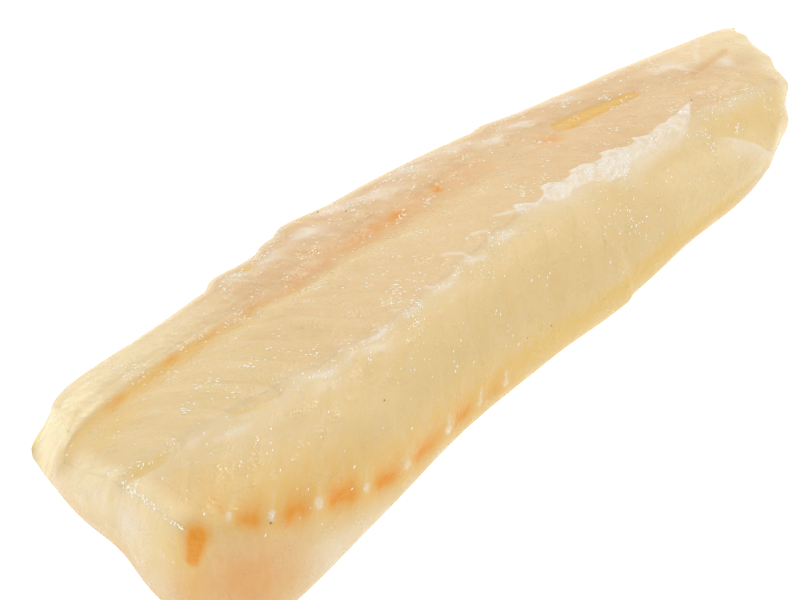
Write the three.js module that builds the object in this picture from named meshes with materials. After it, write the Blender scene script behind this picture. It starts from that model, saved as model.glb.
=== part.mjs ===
// A raw cod loin: one thick strip of fish, cut straight across at its deep end and
// tapering to a thin, ragged tail. It lies flat, with its flaked side up.
// Millimetres, +Z up. +X runs from the cut end to the tail and +Y towards the back of
// the fish. The origin is under the middle of the loin, on the surface it lies on.
import * as THREE from "three";
import { mergeVertices } from "three/addons/utils/BufferGeometryUtils.js";

// Driving dimensions
const LENGTH = 262; // of the long edges; the ends' bows and the tail's back corner stand a little past it
const WIDTH = 89;
const THICKNESS = 30;

// Flakes: the muscle is built of blocks that meet in arrowhead lines along the seam.
const FLAKE_PITCH = 12.4; // at the cut end
const FLAKE_SHRINK = 0.28; // share of the pitch that is lost by the tail
const FLAKE_SLANT = 0.95; // how far a flake's edge runs back for each millimetre from the seam
const FLAKE_TURN = 7; // radius of the rounded arrow tip at the seam
const FLAKE_SWELL = 0.5; // height of a flake's crest above the gaps beside it
const FLAKE_SKEW = 1.35; // above 1, the crest is nearer to the flake's tail-side edge
const FLAKE_LATE = { flakes: 0.6, from: 160, to: 190 }; // where the count falls behind towards the tail
const FLAKE_END_FADE = 0.04; // share of the loin over which the relief dies away at its ends
const FLAKE_SIDE_FADE = 0.8; // the same across, in lines of the section
const FOOT_CLEAR = 4; // height below which the relief dies away towards the floor
const LOBE = 0.008; // how far the flakes' ends scallop the seam, as a share of the width
const LOBE_START = 0.16; // share of the loin from which the seam is scalloped
const LOBE_FULL = 0.32;

// The cut end leans back as it rises, and bows out between its corners.
const CUT_LEAN = 0.26;
const CUT_LEAN_FADE = 0.3; // share of the loin over which the lean dies away
const CUT_BOW = 3.4;
const CUT_BOW_FADE = 0.15;
const CUT_NOTCH = { across: 0.52, width: 0.13, depth: 1.8 }; // where the seam is cut
const STRIP_END = { from: 0.1, to: 0.2, setback: 6.5, above: 0.8, full: 5 }; // slopes to a low tongue
const CUT_SWELL = 1.2; // how far the middle of the cut face stands out
const CUT_ROUND = 0.05; // share of the loin over which the rim of the cut end is rounded
const CUT_ROUND_DROP = 0.035;
// Radius of the rounding between the top and the cut face, spread evenly from the back to the front
const CUT_FILLETS = [0.8, 1.5, 5, 9, 7, 3, 6, 10, 12];
const RIM_CLEAR = 9; // height below which this rounding is level with the floor
const RIM_BLEND = 0.003; // squared distance below which the nearest point of the rim rules alone
const RIM_STEP = 0.012; // share of the loin that shows which way the top runs back from the rim

// The tail's outline bows out between its two corners, is nicked, and is rounded over.
const TAIL_BOW = 13;
const TAIL_BOW_START = 0.72;
const TAIL_BOW_POWERS = { back: 0.9, front: 0.5 }; // below 1, the bow is fuller near the corner
const FRONT_FOOT = 0.97; // share across where the front edge stands, and the ends' bows stop
const TAIL_NICK = 1.5;
const TAIL_NICKS = 5;
const TAIL_NICK_CROWD = 0.7; // below 1, the nicks are wider towards the front
const TAIL_ROUND = 0.04;
const TAIL_EDGE = 0.3; // share of the tail's thickness that is left at its rim

// Facets: sections along the loin, steps across its underside, and rows down its ends
const SECTIONS = 100;
const SECTION_CROWD = 1.25; // above 1, the sections are closer together near the cut end
const UNDER_STEPS = 5; // a whole share of the steps over the top
const CUT_ROWS = 8;
const ROW_CROWD = 1.5; // above 1, the rows are closer together near the rim
const TAIL_ROWS = 2;

// The two long edges in plan: shares of the length from the cut end, and of the width
// from the front. Both have one point for each station, so stations join them across.
const BACK_EDGE = [
  [0.014, 0.92], [0.066, 0.968], [0.19, 0.965], [0.322, 0.97], [0.444, 0.958],
  [0.573, 0.897], [0.71, 0.811], [0.863, 0.715], [1.018, 0.602],
];
const FRONT_EDGE = [
  [0.012, 0.055], [0.066, 0.007], [0.19, 0.022], [0.322, 0.054], [0.444, 0.047],
  [0.565, 0.034], [0.672, 0.046], [0.763, 0.056], [0.826, 0.095],
];
// Share of the full thickness at each station
const DEPTH = [0.97, 1, 0.99, 0.96, 0.89, 0.79, 0.65, 0.48, 0.32];

// The lines that run along the loin, from the back edge's foot over the top to the
// front edge's foot. Each has its shares of the way across and of the depth, spread
// evenly from the cut end to the tail, and the steps of the facets up to the next line.
const LINES = [
  { name: "back foot", across: [0.03, 0.03], height: [0, 0], steps: 2 },
  { name: "back waist", across: [0, 0], height: [0.13, 0.15, 0.3], steps: 2 },
  { name: "back rim", across: [0.03, 0.03, 0.05], height: [0.28, 0.35, 0.6], steps: 3 },
  { name: "strip crest", across: [0.1, 0.12, 0.16], height: [0.35, 0.46, 0.78], steps: 3 },
  {
    name: "blood groove",
    across: [0.16, 0.172, 0.175, 0.255, 0.262, 0.236, 0.24, 0.265, 0.34],
    height: [0.31, 0.46, 0.8],
    steps: 6,
  },
  { name: "back crest", across: [0.34, 0.33, 0.42, 0.4, 0.42], height: [0.56, 0.72, 0.95], steps: 6 },
  {
    name: "seam lip",
    across: [0.465, 0.48, 0.565, 0.665, 0.615, 0.56, 0.555, 0.5, 0.45],
    height: [0.7, 0.745, 0.827, 0.885, 0.879, 0.914, 0.945, 0.97, 0.99],
    steps: 2,
  },
  {
    name: "seam",
    across: [0.49, 0.505, 0.59, 0.69, 0.64, 0.585, 0.58, 0.525, 0.475],
    height: [0.712, 0.757, 0.833, 0.893, 0.88, 0.913, 0.945, 0.97, 0.988],
    steps: 6,
  },
  { name: "belly crest", across: [0.66, 0.72, 0.79, 0.74, 0.7], height: [0.91, 0.99, 0.99], steps: 6 },
  { name: "shoulder", across: [0.84, 0.9, 0.91, 0.9, 0.9], height: [1, 0.82, 0.8], steps: 4 },
  { name: "front wall", across: [0.94, 0.975, 0.975, 0.975, 0.955], height: [0.6, 0.52, 0.55], steps: 3 },
  { name: "front waist", across: [1, 1, 1, 1, 0.975], height: [0.15, 0.25, 0.3], steps: 2 },
  { name: "front foot", across: [0.985, FRONT_FOOT, FRONT_FOOT], height: [0, 0], steps: 0 },
];
const lineIndex = (name) => LINES.findIndex((line) => line.name === name);
const GROOVE = lineIndex("blood groove");
const SEAM_LIP = lineIndex("seam lip");
const SEAM = lineIndex("seam");
const SHOULDER = lineIndex("shoulder");
const FRONT_WALL = lineIndex("front wall");
const LAST_LINE = LINES.length - 1;

// Hollows and steps, each placed along the loin as a share of its length
// and with its depth in millimetres and its width in lines of the section
const DARK_ROW = { from: 0.1, to: 0.43, fade: 0.025, depth: 0.7, width: 0.45 };
// How many lines past the shoulder the dark row runs, spread evenly over its length
const DARK_ROW_DROP = [-0.08, 0.19, 0.55, 1.01, 1.39, 1.5, 1.56, 1.65];
const SPINE_SLOT = { from: 0.664, to: 0.805, depth: 0.6, width: 0.34, end: 0.4 };
const BLOOD_PITS = { from: 0.06, to: 0.55, fade: 0.05, spacing: 14, depth: 0.6, width: 0.3 };
// Hollows where the front muscle stands above the seam
const SEAM_HOLLOWS = [
  { from: 0.031, to: 0.095, depth: 0.75 },
  { from: 0.137, to: 0.198, depth: 0.4 },
];
// A hollow's steep front side and its long back slope, in millimetres from the seam
const HOLLOW_FRONT = [-1.9, -1.4];
const HOLLOW_BACK = [-1, 3];
const HOLLOW_FULLNESS = 0.7; // below 1, a hollow stays deep nearer to its ends
const EDGE_STEP_SLOPE = 2; // half the length over which an edge steps out
const EDGE_STEPS = [
  { edge: "back", at: 0.255, rise: 1.8, length: 14 },
  { edge: "back", at: 0.318, rise: 2.8, length: 30 },
  { edge: "back", at: 0.622, rise: 1, length: 14 },
  { edge: "front", at: 0.562, rise: 0.9, length: -26 },
];

const { clamp, lerp, smoothstep } = THREE.MathUtils;
const bell = (distance, width) => Math.exp(-((distance / width) ** 2));

// A smooth value along the loin through one number for each station.
function alongLoin(values, s) {
  const curve = new THREE.SplineCurve(values.map((v, i) => new THREE.Vector2(i, v)));
  return curve.getPoint(s).y;
}

const planCurve = (shares) =>
  new THREE.CatmullRomCurve3(
    shares.map(([along, across]) => new THREE.Vector3(along * LENGTH, across * WIDTH, 0)),
    false,
    "centripetal",
  );
const backCurve = planCurve(BACK_EDGE);
const frontCurve = planCurve(FRONT_EDGE);

// Flake number at a place: whole numbers fall on the gaps between flakes.
function flakeNumber(x, fromSeam) {
  const back = FLAKE_SLANT * (Math.hypot(fromSeam, FLAKE_TURN) - FLAKE_TURN);
  const along = x + back;
  const late = FLAKE_LATE.flakes * smoothstep(x, FLAKE_LATE.from, FLAKE_LATE.to);
  return (along / FLAKE_PITCH) * (1 + (FLAKE_SHRINK * along) / (2 * LENGTH)) - late;
}

// An edge that steps out: a torn flap that stands proud and fades along the edge.
function edgeStep(x, edge) {
  let out = 0;
  for (const step of EDGE_STEPS.filter((each) => each.edge === edge)) {
    const past = (x - step.at * LENGTH) * Math.sign(step.length);
    const rise = smoothstep(past, -EDGE_STEP_SLOPE, EDGE_STEP_SLOPE);
    out += step.rise * rise * (1 - smoothstep(past, EDGE_STEP_SLOPE, Math.abs(step.length)));
  }
  return out;
}

// The two ends of a section, on the long edges in plan.
function sectionEnds(s) {
  const back = backCurve.getPoint(s);
  const front = frontCurve.getPoint(s);
  back.y += edgeStep(back.x, "back");
  front.y -= edgeStep(front.x, "front");
  return { back, front };
}

// The point of a section's outline before any relief: its share across and its height.
function outlinePoint(s, q) {
  const depth = THICKNESS * alongLoin(DEPTH, s);
  const points = LINES.map(({ across, height }) => {
    return new THREE.Vector3(alongLoin(across, s) * WIDTH, alongLoin(height, s) * depth, 0);
  });
  const scallop = LOBE * WIDTH * seamScallop(s) * smoothstep(s, LOBE_START, LOBE_FULL);
  points[SEAM_LIP].x += scallop;
  points[SEAM].x += scallop;
  const curve = new THREE.CatmullRomCurve3(points, false, "centripetal");
  const { x, y } = curve.getPoint(q / LAST_LINE);
  return { across: x / WIDTH, height: Math.max(0, y) * endRounding(s) };
}

// How far the flakes' ends push the seam towards the front, from -1 to 1.
function seamScallop(s) {
  const x = lerp(BACK_EDGE[0][0], FRONT_EDGE.at(-1)[0], s) * LENGTH;
  return -Math.cos(2 * Math.PI * flakeNumber(x, 0));
}

// The height falls a little at the cut rim and rounds over at the tail.
function endRounding(s) {
  const cut = 1 - CUT_ROUND_DROP * Math.max(0, 1 - s / CUT_ROUND) ** 2;
  const past = clamp((s - (1 - TAIL_ROUND)) / TAIL_ROUND, 0, 1);
  return cut * lerp(TAIL_EDGE, 1, Math.sqrt(1 - past * past));
}

// Where a share across a section and a height lie in space.
function place(s, across, height) {
  const { back, front } = sectionEnds(s);
  const point = new THREE.Vector3().lerpVectors(back, front, across);
  const inside = clamp(across, 0, FRONT_FOOT);
  const arch = Math.sin(Math.PI * inside);
  const tail = smoothstep(s, TAIL_BOW_START, 1);
  const nick = Math.abs(Math.sin(Math.PI * TAIL_NICKS * inside ** TAIL_NICK_CROWD));
  const rounded = arch ** lerp(TAIL_BOW_POWERS.back, TAIL_BOW_POWERS.front, inside);
  const bow = tail * TAIL_BOW * rounded - tail ** 4 * TAIL_NICK * nick;
  point.x += bow * Math.SQRT1_2;
  point.y -= bow * Math.SQRT1_2;
  point.x += CUT_LEAN * height * Math.max(0, 1 - s / CUT_LEAN_FADE) ** 2;
  const notch = CUT_NOTCH.depth * bell(inside - CUT_NOTCH.across, CUT_NOTCH.width);
  const inStrip = 1 - smoothstep(inside, STRIP_END.from, STRIP_END.to);
  const strip = STRIP_END.setback * inStrip * smoothstep(height, STRIP_END.above, STRIP_END.full);
  const cutBow = CUT_BOW * Math.sqrt(arch) - notch - strip;
  point.x -= cutBow * Math.max(0, 1 - s / CUT_BOW_FADE) ** 2;
  point.z = height;
  return point;
}

const smoothPoint = (s, q) => {
  const { across, height } = outlinePoint(s, q);
  return place(s, across, height);
};

// A share that is 1 between two places along the loin and fades to 0 beyond them.
const between = (along, { from, to, fade }) =>
  smoothstep(along, from - fade, from) * (1 - smoothstep(along, to, to + fade));

// Height of the relief above the smooth form, along the surface's normal.
function relief(s, q, x, fromSeam) {
  const onTop = smoothstep(q, GROOVE, GROOVE + FLAKE_SIDE_FADE) * (1 - smoothstep(q, SHOULDER, FRONT_WALL));
  const clearOfEnds = smoothstep(s, 0, FLAKE_END_FADE) * (1 - smoothstep(s, 1 - FLAKE_END_FADE, 1));
  const number = flakeNumber(x, fromSeam);
  const phase = number - Math.floor(number);
  const flake = -0.5 * FLAKE_SWELL * Math.cos(2 * Math.PI * phase ** FLAKE_SKEW);
  let out = onTop * clearOfEnds * flake;

  const along = x / LENGTH;
  const inDarkRow = between(s, DARK_ROW) * Math.sin(Math.PI * phase) ** 2;
  const alongRow = clamp((s - DARK_ROW.from) / (DARK_ROW.to - DARK_ROW.from), 0, 1);
  const darkLine = SHOULDER + alongLoin(DARK_ROW_DROP, alongRow);
  out -= inDarkRow * DARK_ROW.depth * bell(q - darkLine, DARK_ROW.width);

  const pit = (0.5 + 0.5 * Math.cos((2 * Math.PI * x) / BLOOD_PITS.spacing)) ** 3;
  out -= between(along, BLOOD_PITS) * BLOOD_PITS.depth * pit * bell(q - GROOVE, BLOOD_PITS.width);

  const beside = smoothstep(fromSeam, ...HOLLOW_FRONT) * (1 - smoothstep(fromSeam, ...HOLLOW_BACK));
  for (const { from, to, depth } of SEAM_HOLLOWS) {
    const hollow = Math.sin(Math.PI * clamp((along - from) / (to - from), 0, 1)) ** HOLLOW_FULLNESS;
    out -= depth * beside * hollow;
  }

  const slot = clamp((along - SPINE_SLOT.from) / (SPINE_SLOT.to - SPINE_SLOT.from), 0, 1);
  const open = Math.sin(Math.PI * slot);
  out -= SPINE_SLOT.depth * open * bell(q - GROOVE, SPINE_SLOT.width * lerp(SPINE_SLOT.end, 1, open));
  return out;
}

// Small steps along a section's stations and over its lines, between which a normal is found
const NORMAL_STEP = { along: 1e-3, over: 1e-2 };

// The top: the smooth form moved along its normal by the relief.
function topPoint(s, q) {
  const point = smoothPoint(s, q);
  if (q <= 0 || q >= LAST_LINE) return point;
  const near = smoothPoint(Math.max(0, s - NORMAL_STEP.along), q);
  const along = smoothPoint(Math.min(1, s + NORMAL_STEP.along), q).sub(near);
  const over = smoothPoint(s, q + NORMAL_STEP.over).sub(smoothPoint(s, q - NORMAL_STEP.over));
  const normal = new THREE.Vector3().crossVectors(over, along).normalize();
  const fromSeam = point.y - smoothPoint(s, SEAM).y;
  const out = relief(s, q, point.x, fromSeam) * smoothstep(point.z, 0, FOOT_CLEAR);
  return point.addScaledVector(normal, out);
}

// The floor line of a section, from the back foot to the front foot.
function footPoint(s, share) {
  const from = outlinePoint(s, 0).across;
  const to = outlinePoint(s, LAST_LINE).across;
  return place(s, lerp(from, to, share), 0);
}

// A wall at one end, straight down from the top's rim to the floor line.
function endPoint(s, q, down, swell) {
  const from = outlinePoint(s, 0).across;
  const to = outlinePoint(s, LAST_LINE).across;
  const share = clamp((outlinePoint(s, q).across - from) / (to - from), 0, 1);
  const point = topPoint(s, q).lerp(footPoint(s, share), down);
  point.x -= swell * Math.sin(Math.PI * down) * Math.sin(Math.PI * share);
  return point;
}

// The rim where the top meets the cut face. Each of its points has the radius of the rounding,
// the way the top runs back from it, and the way the rounding moves it in.
function cutRim() {
  const points = AROUND.map((q) => topPoint(0, q));
  const floor = points.at(-1).clone().sub(points[0]);
  const middle = footPoint(0, 0.5);
  const facing = points[AROUND.indexOf(SEAM)].clone().sub(middle).cross(floor).normalize();
  return points.map((at, i) => {
    const next = points[Math.min(i + 1, points.length - 1)];
    const along = next.clone().sub(points[Math.max(i - 1, 0)]).normalize();
    const inward = facing.clone().cross(along);
    const back = topPoint(RIM_STEP, AROUND[i]).sub(at);
    back.addScaledVector(along, -back.dot(along)).normalize();
    const turn = back.clone().add(inward);
    turn.z *= smoothstep(at.z, 0, RIM_CLEAR);
    return { at, back, turn, radius: alongLoin(CUT_FILLETS, AROUND[i] / LAST_LINE) };
  });
}

// How far a point near the rim moves in, so that a parabola joins the top and the cut face.
const inset = (distance, radius) => (radius / 4) * Math.max(0, 1 - distance / radius) ** 2;

function roundedTop(s, q, { at, back, turn, radius }) {
  const point = topPoint(s, q);
  const away = Math.max(0, point.clone().sub(at).dot(back));
  return point.addScaledVector(turn, inset(away, radius));
}

// A point of the cut face, moved in by the parts of the rim that are near it.
function roundedCut(down, q, rim) {
  const point = endPoint(0, q, down, CUT_SWELL);
  const shift = new THREE.Vector3();
  let total = 0;
  for (let i = 0; i + 1 < rim.length; i++) {
    const part = new THREE.Line3(rim[i].at, rim[i + 1].at);
    const share = part.closestPointToPointParameter(point, true);
    const away = part.at(share, new THREE.Vector3()).distanceTo(point);
    const weight = part.distance() / (away ** 2 + RIM_BLEND) ** 3;
    const turn = rim[i].turn.clone().lerp(rim[i + 1].turn, share);
    shift.addScaledVector(turn, weight * inset(away, lerp(rim[i].radius, rim[i + 1].radius, share)));
    total += weight;
  }
  shift.z *= smoothstep(point.z, 0, RIM_CLEAR);
  return point.addScaledVector(shift, 1 / total);
}

// Collects points row by row and joins neighbouring rows with triangles.
class Skin {
  positions = [];
  triangles = [];

  row(points) {
    const first = this.positions.length / 3;
    points.forEach((p) => this.positions.push(p.x, p.y, p.z));
    return points.map((_, i) => first + i);
  }

  // Joins two rows with the same number of points. The diagonals turn over at a step.
  band(a, b, turn = a.length) {
    for (let i = 0; i + 1 < a.length; i++) {
      if (i < turn) this.triangles.push(a[i], b[i + 1], b[i], a[i], a[i + 1], b[i + 1]);
      else this.triangles.push(a[i], a[i + 1], b[i], b[i], a[i + 1], b[i + 1]);
    }
  }

  // Joins a fine row to a coarse one that has a whole fraction of its steps.
  taper(fine, coarse, flip) {
    const each = (fine.length - 1) / (coarse.length - 1);
    const add = (a, b, c) => this.triangles.push(...(flip ? [a, b, c] : [a, c, b]));
    for (let i = 0; i < fine.length - 1; i++) {
      add(coarse[Math.floor(i / each)], fine[i], fine[i + 1]);
      if ((i + 1) % each === 0) add(coarse[Math.floor(i / each)], fine[i + 1], coarse[(i + 1) / each]);
    }
  }

  // One closed surface, with the points that rows share welded and collapsed triangles dropped.
  geometry() {
    const loose = new THREE.BufferGeometry();
    loose.setAttribute("position", new THREE.Float32BufferAttribute(this.positions, 3));
    loose.setIndex(this.triangles);
    const welded = mergeVertices(loose, 1e-3);
    const index = welded.getIndex().array;
    const kept = [];
    for (let i = 0; i < index.length; i += 3) {
      const [a, b, c] = index.slice(i, i + 3);
      if (a !== b && b !== c && c !== a) kept.push(a, b, c);
    }
    welded.setIndex(kept);
    welded.computeVertexNormals();
    return welded;
  }
}

const steps = (count) => Array.from({ length: count + 1 }, (_, i) => i / count);

// Places over the top of a section: the lines themselves, and the steps between them.
const AROUND = LINES.flatMap((line, i) => steps(line.steps || 1).slice(0, -1).map((part) => i + part));

function loinGeometry() {
  const skin = new Skin();
  const stations = steps(SECTIONS).map((share) => share ** SECTION_CROWD);
  const rim = cutRim();

  const top = stations.map((s) => skin.row(AROUND.map((q, i) => roundedTop(s, q, rim[i]))));
  for (let i = 0; i < SECTIONS; i++) skin.band(top[i], top[i + 1], AROUND.indexOf(SEAM));

  const rows = steps(CUT_ROWS).slice(1).map((share) =>
    skin.row(AROUND.map((q) => roundedCut(share ** ROW_CROWD, q, rim))),
  );
  const cut = [top[0], ...rows];
  for (let i = 0; i < CUT_ROWS; i++) skin.band(cut[i + 1], cut[i]);

  const tail = steps(TAIL_ROWS).map((down) => skin.row(AROUND.map((q) => endPoint(1, q, down, 0))));
  for (let i = 0; i < TAIL_ROWS; i++) skin.band(tail[i], tail[i + 1]);

  const floor = stations.slice(1, -1).map((s) => {
    const inner = steps(UNDER_STEPS).slice(1, -1).map((share) => footPoint(s, share));
    return skin.row([roundedTop(s, 0, rim[0]), ...inner, roundedTop(s, LAST_LINE, rim.at(-1))]);
  });
  for (let i = 0; i + 1 < floor.length; i++) skin.band(floor[i + 1], floor[i]);
  skin.taper(cut.at(-1), floor[0], false);
  skin.taper(tail.at(-1), floor.at(-1), true);

  const geometry = skin.geometry();
  geometry.computeBoundingBox();
  const middle = geometry.boundingBox.getCenter(new THREE.Vector3());
  return geometry.translate(-middle.x, -middle.y, 0);
}

const flesh = new THREE.MeshStandardMaterial({ color: 0xe6cf9f, roughness: 0.38, metalness: 0 });

const loin = new THREE.Group();
const body = new THREE.Mesh(loinGeometry(), flesh);
body.name = "cod_loin";
loin.add(body);

export default loin;
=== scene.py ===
"""A raw cod loin: moist, translucent flesh over a thick strip of fish, with its flakes, dark muscle,
white connective tissue, torn fibres and wet beads coloured near white as painted glints. It lies on a plain
pale floor."""

import bpy
import numpy as np
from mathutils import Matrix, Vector


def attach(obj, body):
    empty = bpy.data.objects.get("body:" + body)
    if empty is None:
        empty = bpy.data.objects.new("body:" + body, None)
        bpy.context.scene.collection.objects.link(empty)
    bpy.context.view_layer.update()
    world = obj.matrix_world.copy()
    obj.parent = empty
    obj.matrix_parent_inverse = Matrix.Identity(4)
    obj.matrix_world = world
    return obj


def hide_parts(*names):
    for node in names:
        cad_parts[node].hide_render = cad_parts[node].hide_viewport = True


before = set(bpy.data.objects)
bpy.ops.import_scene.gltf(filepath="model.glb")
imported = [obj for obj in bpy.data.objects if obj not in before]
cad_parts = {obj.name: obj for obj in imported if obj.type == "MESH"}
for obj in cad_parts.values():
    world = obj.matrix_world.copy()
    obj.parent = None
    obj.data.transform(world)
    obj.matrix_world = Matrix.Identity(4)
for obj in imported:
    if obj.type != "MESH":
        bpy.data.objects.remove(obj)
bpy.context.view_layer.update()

bl_info = {
    "name": "Raw cod loin",
    "version": (1, 0, 0),
    "blender": (4, 5, 0),
    "location": "View3D > Sidebar > Cod loin",
    "description": "Builds a raw cod loin with flakes, dark muscle, connective tissue and moisture",
    "category": "Object",
}

NODE = "cod_loin"
BODY = "root"
MM = 0.001
TINY = 1e-9

# The two long edges in plan: shares of the length from the cut end, and of the width from the front.
BACK_EDGE = np.array([
    [0.014, 0.92], [0.066, 0.968], [0.19, 0.965], [0.322, 0.97], [0.444, 0.958],
    [0.573, 0.897], [0.71, 0.811], [0.863, 0.715], [1.018, 0.602],
])
FRONT_EDGE = np.array([
    [0.012, 0.055], [0.066, 0.007], [0.19, 0.022], [0.322, 0.054], [0.444, 0.047],
    [0.565, 0.034], [0.672, 0.046], [0.763, 0.056], [0.826, 0.095],
])
DEPTH = [0.97, 1, 0.99, 0.96, 0.89, 0.79, 0.65, 0.48, 0.32]

# The lines that run along the loin, from the back edge's foot over the top to the front edge's foot:
# shares of the way across, shares of the depth, and mesh steps up to the next line.
LINES = {
    "back foot": ([0.03, 0.03], [0, 0], 6),
    "back waist": ([0, 0], [0.13, 0.15, 0.3], 8),
    "back rim": ([0.03, 0.03, 0.05], [0.28, 0.35, 0.6], 14),
    "strip crest": ([0.1, 0.12, 0.16], [0.35, 0.46, 0.78], 16),
    "blood groove": (
        [0.16, 0.172, 0.175, 0.255, 0.262, 0.236, 0.24, 0.265, 0.34],
        [0.31, 0.46, 0.8],
        26,
    ),
    "back crest": ([0.34, 0.33, 0.42, 0.4, 0.42], [0.56, 0.72, 0.95], 26),
    "seam lip": (
        [0.465, 0.48, 0.565, 0.665, 0.615, 0.56, 0.555, 0.5, 0.45],
        [0.7, 0.745, 0.827, 0.885, 0.879, 0.914, 0.945, 0.97, 0.99],
        8,
    ),
    "seam": (
        [0.49, 0.505, 0.59, 0.69, 0.64, 0.585, 0.58, 0.525, 0.475],
        [0.712, 0.757, 0.833, 0.893, 0.88, 0.913, 0.945, 0.97, 0.988],
        26,
    ),
    "belly crest": ([0.66, 0.72, 0.79, 0.74, 0.7], [0.91, 0.99, 0.99], 24),
    "shoulder": ([0.84, 0.9, 0.91, 0.9, 0.9], [1, 0.82, 0.8], 18),
    "front wall": ([0.94, 0.975, 0.975, 0.975, 0.955], [0.6, 0.52, 0.55], 10),
    "front waist": ([1, 1, 1, 1, 0.975], [0.15, 0.25, 0.3], 4),
    "front foot": ([0.985, 0.97, 0.97], [0, 0], 0),
}
LINE_NAMES = list(LINES)
CREST, GROOVE, LIP, SEAM, SHOULDER, WALL = (
    LINE_NAMES.index(name)
    for name in ("strip crest", "blood groove", "seam lip", "seam", "shoulder", "front wall")
)
LAST_LINE = len(LINES) - 1
FRONT_FOOT = 0.97
TINTS = ("blood", "warm", "rosy", "pale", "white")
LIGHT_TINTS = ("rosy", "pale", "white")
MASKS = (*TINTS, "wet", "shreds")

# Ends of the loin, in millimetres or shares
CUT_LEAN, CUT_LEAN_FADE = 0.26, 0.3
CUT_BOW, CUT_BOW_FADE = 3.4, 0.15
CUT_NOTCH = {"across": 0.52, "width": 0.13, "depth": 1.8}
STRIP_END = {"from": 0.1, "to": 0.2, "setback": 6.5, "above": 0.8, "full": 5}
CUT_SWELL, CUT_ROUND, CUT_ROUND_DROP = 1.2, 0.05, 0.035
# Radius of the rounding between the top and the cut face, at even steps from the back to the front
CUT_FILLETS = [0.8, 1.5, 5, 9, 7, 3, 6, 10, 12]
RIM_BLEND, RIM_CLEAR = 0.003, 9
TAIL_BOW, TAIL_BOW_START, TAIL_BOW_POWERS = 13, 0.72, (1.3, 0.5)
TAIL_NICK, TAIL_NICKS, TAIL_NICK_CROWD, TAIL_NICK_POWER = 1.5, 5, 0.7, 4
TAIL_ROUND, TAIL_EDGE = 0.04, 0.3
DIAGONAL = np.sqrt(0.5)
EDGE_STEP_SLOPE = 2
# Steps in the long edges: share of the length, rise, and length of the slope back, which may run backwards
EDGE_STEPS = {
    "back": [(0.255, 1.8, 14), (0.322, 1.5, 28), (0.352, 1.7, 26), (0.622, 1, 14)],
    "front": [(0.562, 0.9, -26)],
}
# How far the flakes' ends push the seam out, as a share of the width, and the stations where that starts
LOBE, LOBE_STARTS = 0.008, (0.16, 0.32)

# The tables of marks say where a mark lies by factors: a named part of the top, a range of a measure
# (measure, start, end, fade) or a bell in it (measure, middle, half width). The measures are millimetres
# along the loin from the cut end, millimetres aside from the seam to the back, the line of the section, the
# station from 0 to 1, and those that the flesh notes as it is built. FAR stands for no limit.
FAR = 1000


def rise(measure, start, full):
    """A factor that runs from 0 to 1 between two values of a measure."""
    return (measure, full, FAR, full - start)


def fall(measure, start, end):
    """A factor that runs from 1 to 0 between two values of a measure."""
    return (measure, -FAR, start, end - start)


# Noise over the top: the two measures it runs over, which noise it is, and the size of its clouds in both
NOISES = 6
CLOUDS = {
    "wander": ("along", "aside", 0, 21, 13),
    "small wander": ("along", "aside", 1, 8, 6),
    "coarse": ("along", "aside", 2, 14, 9),
    "open gaps": ("along", "aside", 1, 16, 12),
    "lumps": ("along", "aside", 3, 4, 3),
    "wet": ("along", "aside", 5, 8, 6),
    "small wet": ("along", "aside", 4, 3.5, 3),
    "fine": ("grain", "over grain", 3, 4, 1.6),
    "fibres": ("grain", "over grain", 5, 5, 0.9),
    "strands": ("grain", "over grain", 1, 3, 0.8),
    "ragged": ("along", "line", 1, 3, 1 / 9),
    "uneven": ("along", "line", 0, 12, 1 / 3.5),
    "small uneven": ("along", "line", 1, 5, 1 / 7),
}

# Flakes: how their edges slant back from the seam, and how their pitch shrinks to the tail
FLAKE_SLANT, FLAKE_TURN, FLAKE_SHRINK, FLAKE_SKEW = 0.95, 7, 0.28, 1.35
FLAKE_LATE = (0.6, 160, 190)
FLAKE_WANDER, FLAKE_SMALL_WANDER = 1.3, 0.4
# Their relief in millimetres, the swell as a share of the panel's
FLAKE_SWELL, FLAKE_LEAST, FLAKE_VARY = 0.3, 0.55, 0.6
GAP_DEPTH, GAP = 0.22, (("gap", 0, 0.6), rise("open gaps", -0.1, 0.6))
COARSE_LUMPS, SMALL_LUMPS, FIBRE_HEIGHT = 0.12, 0.06, 0.05
ON_TOP = (
    rise("line", GROOVE, GROOVE + 0.8), fall("line", SHOULDER, WALL), ("station", 0.012, 0.985, 0.015),
)
FOOT_CLEAR = 4

# The yellow front side, what it loses in places as (share, factors), and its low rim
FRONT_SIDE = (rise("line", SEAM, SEAM + 0.8), fall("line", WALL + 0.2, WALL + 0.9))
FRONT_WARMTH, FRONT_CLOUDS = 0.33, 0.5
FRONT_LOSSES = [
    (0.5, ("line", SEAM + 0.85, 0.4), ("along", 20, 48, 12)),
    # Painted light: the warmth fades near the tail so that the shaded front slope there reads brighter.
    (0.4, rise("along", 170, 200)),
]
# Partly painted light and shade: the low rim's golden tint stands for light glowing through the thin rim and
# darkens it against the floor's glow.
LOW_RIM_WARMTH = 0.72
LOW_RIM = (rise("line", WALL - 0.5, WALL + 0.2), ("along", 85, 190, 25))
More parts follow.
